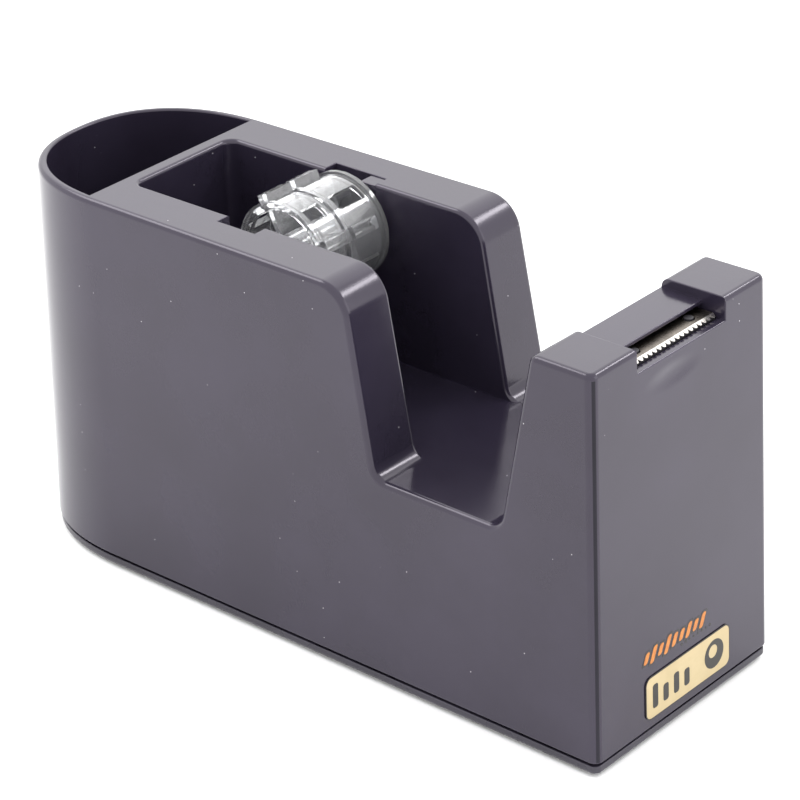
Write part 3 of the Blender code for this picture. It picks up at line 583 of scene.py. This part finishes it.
def make_housing():
    """The moulded body: cup, well, notch, tower and seats cut from the outline, then hollowed and rounded."""
    looks = (satin_plastic(), corner_dark_reflection_plastic(), inside_plastic())
    housing = standing("housing_shell", ((body_outline(SHELL_Z), SHELL_Z), (body_outline(HEIGHT), HEIGHT)))
    high = HEIGHT + OVERCUT
    across = 2.0 * HALF_WIDTH
    notch = prism("notch", notch_outline(), -across, across)
    half_length = (NOTCH_REAR_X + REAR_FOOT_R * 2 - WELL_REAR_X) / 2.0
    well_middle = (WELL_REAR_X + half_length, 0.0)
    well_plan = rounded_rectangle(half_length, WELL_HALF_WIDTH, WELL_CORNER_R, well_middle, 10)
    well = standing("well", ((well_plan, FLOOR_Z), (well_plan, high)))
    cup_front = WELL_REAR_X - DIVIDER
    cup = standing("cup", ((rear_points(CUP_FLOOR_Z, CUP_WALL, cup_front), CUP_FLOOR_Z),
                           (rear_points(high, CUP_WALL, cup_front), high)))
    channel = box("channel", (NOTCH_FRONT_X, -CHANNEL_HALF_WIDTH, HEIGHT - PLATFORM_DROP),
                  (PLATFORM_FRONT_X + GAP, CHANNEL_HALF_WIDTH, high))
    trough = box("trough", (PLATFORM_FRONT_X, -CHANNEL_HALF_WIDTH, HEIGHT - TROUGH_DEPTH),
                 (2.0 * FRONT_X, CHANNEL_HALF_WIDTH, high))
    pocket = box("pocket", (POCKET_REAR_X, -CHANNEL_HALF_WIDTH, HEIGHT - POCKET_FLOOR_DROP),
                 (POCKET_FRONT_X, CHANNEL_HALF_WIDTH, HEIGHT - PLATFORM_DROP - PLATFORM_LIP))
    seats = seat_cutters(-1, "near") + seat_cutters(1, "far")
    cut(housing, notch, well, cup, channel, trough, pocket, *seats)
    core = make_core()
    for shell in (housing, core):
        for material in looks:
            shell.data.materials.append(material)
    for face in core.data.polygons:
        face.material_index = INSIDE
    cut(housing, core)
    round_edges(housing, OUTER_EDGE_R, housing_edge_radius)
    # faces of the near front corner that turn towards the camera get the painted dark reflection
    for face in housing.data.polygons:
        in_dark_reflection = DARK_REFLECTION_TURN[0] < face.normal.x < DARK_REFLECTION_TURN[1] and face.normal.y < 0.0
        if in_dark_reflection and abs(face.normal.z) < DARK_REFLECTION_LEAN and face.center.x > NOTCH_FRONT_X + NEAR_CORNER_R:
            face.material_index = DARK_REFLECTION
    place(housing, "body", "housing_plastic", None, "housing")
    return even_shading(housing)


# ---------------------------------------------------------------- base plate

def make_base_plate():
    """The closing plate, with a rounded lower edge, a cradle for the ballast, and screw and foot recesses."""
    top = PLATE_Z + PLATE_THICK
    levels = []
    for out, rise in arc((0.0, PLATE_EDGE_R), PLATE_EDGE_R, -pi / 2, 0.0, 6):
        levels.append((body_outline(PLATE_Z, PLATE_INSET + PLATE_EDGE_R - out), PLATE_Z + rise))
    for out, rise in arc((0.0, -PLATE_TOP_R), PLATE_TOP_R, 0.0, pi / 2, 4):
        levels.append((body_outline(top, PLATE_INSET + PLATE_TOP_R - out), top + rise))
    plate = standing("base_plate_moulded", levels)
    low = BALLAST_LOW - Vector((GAP, GAP, 0.0))
    high = BALLAST_HIGH + Vector((GAP, GAP, 0.0))
    outer = box("cradle", (low.x - CRADLE_WALL, low.y - CRADLE_WALL, top - PLATE_THICK / 2),
                (high.x + CRADLE_WALL, high.y + CRADLE_WALL, PLATE_HIGH.z))
    join(plate, outer)
    recesses = [box("cradle_hollow", (low.x, low.y, top), (high.x, high.y, PLATE_HIGH.z + OVERCUT))]
    for index, (x, y) in enumerate(boss_places()):
        recesses.append(pin(f"sink_{index}", HEAD_R + GAP, x, y, -OVERCUT, PLATE_Z + HEAD_THICK + GAP / 2))
        recesses.append(pin(f"through_{index}", SCREW_R + GAP, x, y, -OVERCUT, top + OVERCUT))
    for end in ("front", "rear"):
        for side in ("near", "far"):
            foot_low, foot_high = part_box(f"foot_{end}_{side}")
            middle = (foot_low + foot_high) / 2.0
            radius = (foot_high.x - foot_low.x) / 2.0 + GAP
            recess_top = foot_high.z + GAP
            recesses.append(pin(f"recess_{end}_{side}", radius, middle.x, middle.y, -OVERCUT, recess_top))
    cut(plate, *recesses)
    look = moulded("base_plastic_look", (0.018, 0.015, 0.024), (0.027, 0.023, 0.036), 0.20, 0.32)
    place(plate, "body", "base_plastic", look, "base_plate")
    return even_shading(plate)


# ---------------------------------------------------------------- blade

def make_blade():
    """A steel strip with a ground edge of scalloped teeth."""
    middle_y = (BLADE_LOW.y + BLADE_HIGH.y) / 2.0
    half = (BLADE_HIGH.y - BLADE_LOW.y) / 2.0
    teeth = round(2.0 * half / TOOTH_PITCH)
    pitch = 2.0 * half / teeth
    valley_x = BLADE_HIGH.x - TOOTH_DEPTH
    outline = [(BLADE_LOW.x, middle_y + half), (BLADE_LOW.x, middle_y - half)]
    for index in range(teeth * TOOTH_STEPS + 1):
        share = index / TOOTH_STEPS
        height = abs(sin(pi * share)) ** TOOTH_POWER
        outline.append((valley_x + TOOTH_DEPTH * height, middle_y - half + share * pitch))
    blade = standing("cutting_blade_steel", ((outline, BLADE_LOW.z), (outline, BLADE_HIGH.z)))
    ground_from = BLADE_HIGH.x - GRIND_LENGTH
    ground_to = BLADE_HIGH.x + GRIND_LENGTH
    low = BLADE_LOW.z - OVERCUT
    high = BLADE_HIGH.z + OVERCUT
    wedge = [(ground_from, BLADE_HIGH.z), (ground_to, BLADE_LOW.z - GRIND_DROP),
             (ground_to, high), (ground_from, high)]
    grind = prism("grind", wedge, -HALF_WIDTH, HALF_WIDTH)
    holes = [pin(f"blade_hole_{index}", STUD_R + GAP, STUD_X, y, low, high)
             for index, y in enumerate((-STUD_Y, STUD_Y))]
    cut(blade, grind, *holes)
    # the strip's steel is tinted dark brown as a painted dark reflection; the ground faces keep a bright
    # steel
    strip_steel_painted_dark = brushed_steel("blade_steel_dark_reflection_look", (0.20, 0.175, 0.15))
    place(blade, "body", "blade_steel", strip_steel_painted_dark, "cutting_blade")
    blade.data.materials.append(brushed_steel("ground_steel_look", (0.75, 0.72, 0.68)))
    for face in blade.data.polygons:
        ground = face.normal.x > GROUND_TURN
        face.material_index = 1 if ground else 0
    return even_shading(blade, 20.0)


# ---------------------------------------------------------------- tape hub

def turned_box(name, reach, width, low_y, high_y, turn):
    """A bar across the width, between two distances from the hub's axis."""
    corners = ((reach[0], -width / 2), (reach[1], -width / 2), (reach[1], width / 2), (reach[0], width / 2))
    outline = [(HUB.x + u * cos(turn) - v * sin(turn), HUB.z + u * sin(turn) + v * cos(turn))
               for u, v in corners]
    return prism(name, outline, low_y, high_y)


def make_hub_half(name, low_y, high_y, rib_ends, window_ends, end_pieces):
    """A clear drum with ribs and windows, round a bearing sleeve on webs."""
    half = tube(name, DRUM_R, low_y, high_y)
    bore_r = DRUM_R - DRUM_WALL
    cut(half, tube(f"{name}_hollow", bore_r, low_y - OVERCUT, high_y + OVERCUT))
    turns = [RIB_TURN + index * 2.0 * pi / RIB_COUNT for index in range(RIB_COUNT)]
    for index, turn in enumerate(turns):
        join(half, turned_box(f"rib_{index}", (DRUM_R - DRUM_WALL / 2, RIB_R), RIB_WIDTH, *rib_ends, turn))
        cut(half, turned_box(f"window_{index}", (bore_r - DRUM_WALL, RIB_R), WINDOW_WIDTH, *window_ends,
                             turn + WINDOW_TURN))
    join(half, tube(f"{name}_sleeve", AXLE_R + GAP + SLEEVE_WALL, low_y + GAP / 2, high_y - GAP / 2, 64))
    for index, turn in enumerate(turns[:RIB_COUNT // 2]):
        web_gap = GAP * (2 + index)
        reach = bore_r + DRUM_WALL / 4
        ends = (low_y + web_gap, high_y - web_gap)
        join(half, turned_box(f"web_{index}", (-reach, reach), WEB_THICK, *ends, turn))
    join(half, *end_pieces)
    cut(half, tube(f"{name}_bore", AXLE_R + GAP, -HALF_WIDTH, HALF_WIDTH, 64))
    return round_edges(half, CLEAR_EDGE_R, segments=2, angle=40.0, clamp=True)


def end_ring(name, low_y):
    """The step round the end of a drum half."""
    ring = tube(name, RING_R, low_y, low_y + RING_THICK)
    return cut(ring, tube(f"{name}_hollow", DRUM_R - DRUM_WALL / 2, low_y - OVERCUT, low_y + OVERCUT))


def make_hub():
    """Both clear halves of the drum, and the axle in them."""
    clear = clear_plastic()
    flange_y = FLANGED_HIGH.y - RING_THICK
    start = FLANGED_LOW.y + GAP / 2
    ribs = (start + RING_THICK / 2, flange_y - RIB_END_GAP)
    windows = (start + RING_THICK + WINDOW_RIM, flange_y - WINDOW_RIM)
    ends = [end_ring("middle_ring", FLANGED_LOW.y), tube("flange", RING_R, flange_y, FLANGED_HIGH.y)]
    flanged = make_hub_half("hub_flanged_clear", start, flange_y + RING_THICK / 2, ribs, windows, ends)
    place(flanged, "drum", "clear_plastic", clear, "hub_flanged_half")
    even_shading(flanged)
    low_y = PLAIN_LOW.y + RING_THICK / 2
    ribs = (low_y - RING_THICK / 4, PLAIN_HIGH.y - GAP)
    windows = (low_y + RING_THICK / 2 + WINDOW_RIM, PLAIN_HIGH.y - WINDOW_RIM)
    ends = [end_ring("near_ring", PLAIN_LOW.y)]
    plain = make_hub_half("hub_plain_clear", low_y, PLAIN_HIGH.y, ribs, windows, ends)
    place(plain, "drum", "clear_plastic", clear, "hub_plain_half")
    even_shading(plain)
    make_axle(clear)


def make_axle(clear):
    """The pin that the drum turns on, with flats at its ends that keep it from turning in the seats."""
    axle = tube("hub_axle_clear", AXLE_R, AXLE_LOW.y, AXLE_HIGH.y, 64)
    for side, end in ((-1, "near"), (1, "far")):
        for face, where in ((-1, "rear"), (1, "front")):
            xs = sorted((HUB.x + face * (AXLE_R - AXLE_FLAT_CUT), HUB.x + face * 2 * AXLE_R))
            ys = sorted((side * (WELL_HALF_WIDTH - 2 * GAP), side * HALF_WIDTH))
            cut(axle, box(f"axle_flat_{end}_{where}", (xs[0], ys[0], HUB.z - 2 * AXLE_R),
                          (xs[1], ys[1], HUB.z + 2 * AXLE_R)))
    round_edges(axle, CLEAR_EDGE_R, segments=2, clamp=True)
    place(axle, "axle", "clear_plastic", clear, "hub_axle")
    even_shading(axle)


# ---------------------------------------------------------------- label and printed motif

def on_front(outline, *lifts):
    """Rings of points at distances from the leaning front face, from an outline in Y and Z."""
    return [[(front_x(z) + lift, y, z) for y, z in outline] for lift in lifts]


def front_patch(name, outline, lift, material):
    """A thin printed or stuck shape on the leaning front face, from points in Y and Z."""
    patch = loft(name, on_front(outline, lift, lift + FILM))
    place(patch, "body", "label_film", material)
    return patch


def make_label():
    """A cream sticker with a dark frame and a plain geometric mark."""
    centre = (LABEL_LOW + LABEL_HIGH) / 2.0
    half_y = (LABEL_HIGH.y - LABEL_LOW.y) / 2.0
    half_z = (LABEL_HIGH.z - LABEL_LOW.z) / 2.0
    middle = (centre.y, centre.z)
    ink = print_ink("label_ink", (0.010, 0.009, 0.008), (0.030, 0.026, 0.022))
    outline = rounded_rectangle(half_y, half_z, LABEL_CORNER_R, middle)
    film = loft("front_label_film", on_front(outline, LABEL_GAP, LABEL_GAP + LABEL_THICK))
    place(film, "body", "label_film", ink, "front_label")
    face_r = LABEL_CORNER_R - FRAME_WIDTH
    face = rounded_rectangle(half_y - FRAME_WIDTH, half_z - FRAME_WIDTH, face_r, middle)
    front_patch("label_face", face, LABEL_GAP + LABEL_THICK, label_film())
    top = LABEL_GAP + LABEL_THICK + FILM
    mark_y = centre.y + half_y * MARK_PLACE
    ring = front_patch("label_mark_ring", arc((mark_y, centre.z), MARK_R, 0.0, 2.0 * pi, 48)[:-1], top, ink)
    eye_middle = (mark_y + MARK_R * EYE_SHIFT[0], centre.z + MARK_R * EYE_SHIFT[1])
    eye = arc(eye_middle, MARK_R * EYE_SIZE, 0.0, 2.0 * pi, 32)[:-1]
    cut(ring, loft("mark_eye", on_front(eye, -OVERCUT, OVERCUT)))
    for index, height in enumerate(BAR_HEIGHTS):
        y = centre.y - half_y * BARS_START + index * BAR_PITCH
        z = centre.z - (BAR_HEIGHTS[0] - height) / 2
        bar = rounded_rectangle(BAR_WIDTH / 2, height / 2, BAR_WIDTH / 3, (y, z), 4)
        front_patch(f"label_bar_{index}", bar, top, ink)


def make_motif():
    """A row of slanted orange strokes with dark edges over a row of small dots, printed above the label."""
    orange = print_ink("motif_orange", (0.44, 0.135, 0.012), (0.55, 0.20, 0.03))
    dark = print_ink("motif_shadow", (0.012, 0.010, 0.010), (0.035, 0.030, 0.030))
    pitch = MOTIF_WIDTH / len(STROKE_HEIGHTS)
    start = (LABEL_LOW.y + LABEL_HIGH.y) / 2.0 + MOTIF_SHIFT_Y - MOTIF_WIDTH / 2.0
    base = LABEL_HIGH.z + MOTIF_RAISE
    layers = (("shadow", dark, STROKE_EDGE, 0.0), ("stroke", orange, 0.0, FILM))
    for index, height in enumerate(STROKE_HEIGHTS):
        y = start + (index + 0.5) * pitch
        for name, material, grow, lift in layers:
            half_width = STROKE_WIDTH / 2 + grow
            stroke = rounded_rectangle(half_width, height / 2 + grow, STROKE_WIDTH / 2.5, segments=4)
            leaning = [(y + v + STROKE_LEAN * w, base + w) for v, w in stroke]
            front_patch(f"motif_{name}_{index}", leaning, lift, material)
    for index in range(DOT_COUNT):
        place_at = (start + DOT_START * MOTIF_WIDTH + index * DOT_PITCH, base - DOT_DROP)
        dot = arc(place_at, DOT_R, 0.0, 2.0 * pi, 10)[:-1]
        front_patch(f"motif_dot_{index}", dot, 0.0, dark)


# ---------------------------------------------------------------- materials

def new_material(name, **settings):
    material = bpy.data.materials.new(name)
    material.use_nodes = True
    for socket, value in settings.items():
        shader(material).inputs[socket.replace("_", " ")].default_value = value
    return material


def shader(material):
    return material.node_tree.nodes["Principled BSDF"]


def add(material, kind, inputs=None, **properties):
    """A node with its settings, and its inputs set to values or linked from sockets."""
    piece = material.node_tree.nodes.new(kind)
    for name, value in properties.items():
        setattr(piece, name, value)
    for name, value in (inputs or {}).items():
        if isinstance(value, bpy.types.NodeSocket):
            material.node_tree.links.new(value, piece.inputs[name])
        else:
            piece.inputs[name].default_value = value
    return piece


def feed(material, socket, value):
    material.node_tree.links.new(value, shader(material).inputs[socket])


def places(material, stretch=(1.0, 1.0, 1.0)):
    """Coordinates in metres on the piece, stretched along its axes."""
    where = add(material, "ShaderNodeTexCoord").outputs["Object"]
    return add(material, "ShaderNodeMapping", {"Vector": where, "Scale": stretch}).outputs["Vector"]


def noise(material, where, scale, detail=3.0, roughness=0.55):
    inputs = {"Vector": where, "Scale": scale, "Detail": detail, "Roughness": roughness}
    return add(material, "ShaderNodeTexNoise", inputs).outputs["Fac"]


def ramp(material, value, low, high, start, end):
    """Takes a value between two limits to another pair."""
    inputs = {"Value": value, "From Min": low, "From Max": high, "To Min": start, "To Max": end}
    return add(material, "ShaderNodeMapRange", inputs).outputs["Result"]


def blend(material, share, first, second):
    mix = add(material, "ShaderNodeMix", data_type="RGBA")
    for socket, value in ((mix.inputs[0], share), (mix.inputs[6], first), (mix.inputs[7], second)):
        if isinstance(value, bpy.types.NodeSocket):
            material.node_tree.links.new(value, socket)
        else:
            socket.default_value = (*value, 1.0) if isinstance(value, tuple) else value
    return mix.outputs[2]


def multiply(material, first, second):
    return add(material, "ShaderNodeMath", {0: first, 1: second}, operation="MULTIPLY").outputs[0]


def bump(material, height, strength, distance, under=None):
    inputs = {"Height": height, "Strength": strength, "Distance": distance}
    if under is not None:
        inputs["Normal"] = under
    return add(material, "ShaderNodeBump", inputs).outputs["Normal"]


def specks(material, where, scale, size, share):
    """Small dots as a mask: dust on the plastic, and the painted shade of pits in the cement."""
    cells = add(material, "ShaderNodeTexVoronoi", {"Vector": where, "Scale": scale})
    near = ramp(material, cells.outputs["Distance"], size, size * 0.6, 0.0, 1.0)
    parts = add(material, "ShaderNodeSeparateColor", {"Color": cells.outputs["Color"]})
    chosen = add(material, "ShaderNodeMath", {0: parts.outputs[0], 1: 1.0 - share}, operation="GREATER_THAN")
    return multiply(material, near, chosen.outputs[0])


def edges_mask(material, radius):
    """Where the surface turns sharply, as a mask."""
    rounded = add(material, "ShaderNodeBevel", {"Radius": radius}, samples=4).outputs["Normal"]
    true = add(material, "ShaderNodeNewGeometry").outputs["Normal"]
    dot = add(material, "ShaderNodeVectorMath", {0: rounded, 1: true}, operation="DOT_PRODUCT")
    return ramp(material, dot.outputs["Value"], *WORN_TURN, 0.0, 1.0)


def moulded(name, dark, light, smoothest, roughest, dust=0.0):
    """Satin injection-moulded plastic: fine grain, faint flow clouds, paler worn edges and dust."""
    material = new_material(name, IOR=1.52)
    where = places(material)
    clouds = noise(material, where, 32.0, 4.0)
    grain = noise(material, where, 2400.0, 2.0)
    ripple = noise(material, places(material, (0.6, 0.6, 1.0)), 60.0, 2.0)
    colour = blend(material, ramp(material, clouds, 0.35, 0.65, 0.0, 1.0), dark, light)
    colour = blend(material, multiply(material, grain, 0.25), colour, light)
    worn = tuple(min(channel * 1.9, 1.0) for channel in light)
    patches = edges_mask(material, WORN_REACH)
    scuffs = multiply(material, patches, ramp(material, clouds, 0.40, 0.62, 0.10, 0.55))
    colour = blend(material, scuffs, colour, worn)
    if dust > 0.0:
        colour = blend(material, specks(material, where, 420.0, 0.055, dust), colour, (0.62, 0.60, 0.62))
    feed(material, "Base Color", colour)
    feed(material, "Roughness", ramp(material, clouds, 0.30, 0.70, smoothest, roughest))
    rough = bump(material, grain, 0.30, 0.00003)
    feed(material, "Normal", bump(material, ripple, 0.35, 0.00022, rough))
    return material


def satin_plastic():
    """The housing's plastic, with a shallow sink mark below the blade slot."""
    dark = (0.016, 0.013, 0.023)
    light = (0.023, 0.019, 0.033)
    material = moulded("housing_plastic_look", dark, light, 0.13, 0.21, dust=0.15)
    shader(material).inputs["Specular Tint"].default_value = (0.96, 0.90, 1.0, 1.0)
    where = add(material, "ShaderNodeTexCoord").outputs["Object"]
    middle = (front_x(HEIGHT - SINK_DROP), SINK_Y, HEIGHT - SINK_DROP)
    away = add(material, "ShaderNodeVectorMath", {0: where, 1: middle}, operation="SUBTRACT").outputs[0]
    scaled = add(material, "ShaderNodeVectorMath", {0: away, 1: SINK_SCALE}, operation="MULTIPLY").outputs[0]
    reach = add(material, "ShaderNodeVectorMath", {0: scaled}, operation="LENGTH").outputs["Value"]
    dent = add(material, "ShaderNodeMapRange", {"Value": reach}, interpolation_type="SMOOTHERSTEP").outputs[0]
    under = shader(material).inputs["Normal"].links[0].from_socket
    feed(material, "Normal", bump(material, dent, 1.0, SINK_DEPTH, under))
    return material


def corner_dark_reflection_plastic():
    """Darker, duller plastic that paints a dark reflection on the strip of the near front corner which faces
    the camera.
    """
    material = moulded("corner_dark_reflection_look", (0.010, 0.009, 0.014), (0.018, 0.016, 0.024), 0.30, 0.45)
    shader(material).inputs["Specular IOR Level"].default_value = 0.18
    return material


def inside_plastic():
    """The rough inside of the shell, which the base plate closes."""
    return moulded("inside_plastic_look", (0.012, 0.010, 0.016), (0.020, 0.017, 0.026), 0.45, 0.60)


def brushed_steel(name, tint):
    """Brushed steel with fine lines across the strip and faint stains."""
    material = new_material(name, Metallic=1.0)
    lines = noise(material, places(material, (1.0, 60.0, 60.0)), 900.0, 2.0)
    stains = noise(material, places(material), 260.0, 4.0)
    stained = tuple(0.62 * channel for channel in tint)
    colour = blend(material, ramp(material, stains, 0.35, 0.70, 0.0, 1.0), tint, stained)
    feed(material, "Base Color", colour)
    feed(material, "Roughness", ramp(material, lines, 0.3, 0.7, 0.20, 0.36))
    feed(material, "Normal", bump(material, lines, 0.25, 0.00002))
    return material


def clear_plastic():
    """Clear moulded polystyrene with faint flow lines and light haze."""
    material = new_material("clear_plastic_look", IOR=1.55, Transmission_Weight=0.93)
    where = places(material)
    flow = noise(material, places(material, (1.0, 0.25, 1.0)), 420.0, 3.0)
    haze = noise(material, where, 900.0, 2.0)
    feed(material, "Base Color", blend(material, flow, (1.0, 1.0, 1.0), (0.93, 0.94, 0.97)))
    feed(material, "Roughness", ramp(material, haze, 0.35, 0.75, 0.02, 0.12))
    feed(material, "Normal", bump(material, flow, 0.22, 0.00010))
    return material


def label_film():
    """Cream film with a soft golden sheen and fine fibres."""
    material = new_material("label_film_look", Metallic=0.15)
    fibres = noise(material, places(material, (1.0, 0.3, 1.6)), 1400.0, 4.0)
    tone = noise(material, places(material), 130.0, 2.0)
    cloudy = ramp(material, tone, 0.35, 0.65, 0.0, 1.0)
    colour = blend(material, cloudy, (0.47, 0.375, 0.205), (0.53, 0.43, 0.25))
    colour = blend(material, multiply(material, fibres, 0.35), colour, (0.40, 0.30, 0.15))
    feed(material, "Base Color", colour)
    feed(material, "Roughness", ramp(material, tone, 0.3, 0.7, 0.32, 0.48))
    feed(material, "Normal", bump(material, fibres, 0.15, 0.00003))
    return material


def print_ink(name, dark, light):
    """Printed ink, slightly uneven, with worn flecks."""
    material = new_material(name)
    tone = noise(material, places(material), 700.0, 3.0)
    feed(material, "Base Color", blend(material, ramp(material, tone, 0.4, 0.7, 0.0, 1.0), dark, light))
    feed(material, "Roughness", ramp(material, tone, 0.3, 0.7, 0.30, 0.50))
    feed(material, "Normal", bump(material, tone, 0.20, 0.00002))
    return material


def rubber():
    material = new_material("rubber_look", IOR=1.5)
    where = places(material)
    pores = noise(material, where, 1800.0, 4.0)
    tone = noise(material, where, 90.0, 2.0)
    feed(material, "Base Color", blend(material, tone, (0.012, 0.012, 0.013), (0.035, 0.034, 0.036)))
    feed(material, "Roughness", ramp(material, pores, 0.3, 0.7, 0.62, 0.85))
    feed(material, "Normal", bump(material, pores, 0.5, 0.00008))
    return material


def cement():
    """Cast cement with sand grains, and pits shown only as dark specks of painted shade."""
    material = new_material("ballast_cement_look")
    where = places(material)
    sand = noise(material, where, 900.0, 5.0)
    # the pits have no depth: their shade is painted as dark specks
    pit_shade = specks(material, where, 300.0, 0.28, 0.5)
    grains = ramp(material, sand, 0.35, 0.65, 0.0, 1.0)
    colour = blend(material, grains, (0.24, 0.23, 0.21), (0.42, 0.41, 0.38))
    feed(material, "Base Color", blend(material, pit_shade, colour, (0.12, 0.115, 0.10)))
    feed(material, "Roughness", ramp(material, sand, 0.3, 0.7, 0.80, 0.96))
    feed(material, "Normal", bump(material, sand, 0.6, 0.00030))
    return material


def pale_floor():
    material = new_material("pale_floor_look")
    tone = noise(material, places(material), 6.0, 2.0)
    feed(material, "Base Color", blend(material, tone, (0.90, 0.90, 0.90), (0.93, 0.93, 0.93)))
    feed(material, "Roughness", ramp(material, tone, 0.3, 0.7, 0.75, 0.85))
    return material


# ---------------------------------------------------------------- pieces kept from the CAD model

def dress(node, material, edge_r):
    """Gives a CAD node its material and softens its edges."""
    piece = bpy.data.objects[node]
    piece.data.materials.clear()
    piece.data.materials.append(material)
    bevel = piece.modifiers.new("edges", "BEVEL")
    bevel.limit_method = "ANGLE"
    bevel.angle_limit = radians(DRESS_ANGLE)
    bevel.width = edge_r
    bevel.segments = DRESS_SEGMENTS


def dress_cad_nodes():
    """The pieces that keep their CAD shapes."""
    bar = moulded("carrier_plastic_look", (0.014, 0.013, 0.016), (0.024, 0.022, 0.027), 0.35, 0.50)
    zinc = brushed_steel("screw_steel_look", (0.46, 0.46, 0.47))
    soft = rubber()
    dress("blade_carrier", bar, CARRIER_EDGE_R)
    dress("ballast_block", cement(), BALLAST_EDGE_R)
    for end in ("front", "rear"):
        for side in ("near", "far"):
            dress(f"foot_{end}_{side}", soft, FOOT_EDGE_R)
    for row in ("front", "middle", "rear"):
        for side in ("near", "far"):
            dress(f"base_screw_{row}_{side}", zinc, SCREW_EDGE_R)
    for side in ("near", "far"):
        dress(f"carrier_screw_{side}", zinc, SCREW_EDGE_R)


# ---------------------------------------------------------------- floor, light and camera

def make_floor():
    """A plain pale floor, which isn't part of the object."""
    shape = bmesh.new()
    bmesh.ops.create_grid(shape, x_segments=16, y_segments=16, size=FLOOR_HALF)
    floor = from_bmesh("floor", shape)
    floor.data.materials.append(pale_floor())


def direction(azimuth, elevation):
    """From the object towards a place round it: azimuth 0 is at the near side, 90 at the front."""
    return Vector((sin(azimuth) * cos(elevation), -cos(azimuth) * cos(elevation), sin(elevation)))


def soft_box(name, where, size, radiance):
    """A rectangular light facing the camera's target. where is azimuth, elevation and distance."""
    azimuth, elevation, distance = where
    width, height = size
    light = bpy.data.lights.new(name, "AREA")
    light.shape = "RECTANGLE"
    light.size = width
    light.size_y = height
    light.energy = radiance * width * height * pi
    lamp = bpy.data.objects.new(name, light)
    bpy.context.scene.collection.objects.link(lamp)
    towards = direction(radians(azimuth), radians(elevation))
    lamp.location = Vector(CAMERA_TARGET) + towards * distance
    lamp.rotation_euler = towards.to_track_quat("Z", "Y").to_euler()


def make_lights():
    """An even white studio, with a streak light that draws the highlights along the edges."""
    world = bpy.data.worlds.new("studio")
    world.use_nodes = True
    background = world.node_tree.nodes["Background"]
    background.inputs["Color"].default_value = (1.0, 1.0, 1.0, 1.0)
    background.inputs["Strength"].default_value = WORLD_LEVEL
    bpy.context.scene.world = world
    soft_box("back_box", where=(221.0, 42.0, 1.3), size=(1.6, 0.9), radiance=BACK_LEVEL)
    soft_box("front_box", where=(110.0, 22.0, 1.2), size=(0.8, 0.8), radiance=FRONT_LEVEL)
    soft_box("streak_box", where=(152.0, 42.0, 1.2), size=(0.5, 0.12), radiance=STREAK_LEVEL)
    soft_box("left_box", where=(285.0, 50.0, 1.2), size=(0.5, 0.5), radiance=LEFT_LEVEL)


def make_camera():
    """The photograph's viewpoint, turned a little about the line of sight."""
    azimuth = radians(CAMERA_AZIMUTH)
    elevation = radians(CAMERA_ELEVATION)
    roll = radians(CAMERA_ROLL)
    back = direction(azimuth, elevation)
    right = Vector((cos(azimuth), sin(azimuth), 0.0))
    up = back.cross(right)
    turned_right = cos(roll) * right + sin(roll) * up
    turned_up = cos(roll) * up - sin(roll) * right
    place_at = Vector(CAMERA_TARGET) + back * CAMERA_DISTANCE
    camera = bpy.data.objects.new("camera", bpy.data.cameras.new("camera"))
    camera.data.sensor_width = CAMERA_SENSOR
    camera.data.lens = CAMERA_LENS
    camera.data.clip_start, camera.data.clip_end = CAMERA_CLIP
    camera.matrix_world = Matrix((
        (turned_right.x, turned_up.x, back.x, place_at.x),
        (turned_right.y, turned_up.y, back.y, place_at.y),
        (turned_right.z, turned_up.z, back.z, place_at.z),
        (0.0, 0.0, 0.0, 1.0),
    ))
    bpy.context.scene.collection.objects.link(camera)
    bpy.context.scene.camera = camera
    bpy.context.scene.view_settings.view_transform = "Standard"


make_housing()
make_base_plate()
make_blade()
make_hub()
make_label()
make_motif()
dress_cad_nodes()
make_floor()
make_lights()
make_camera()
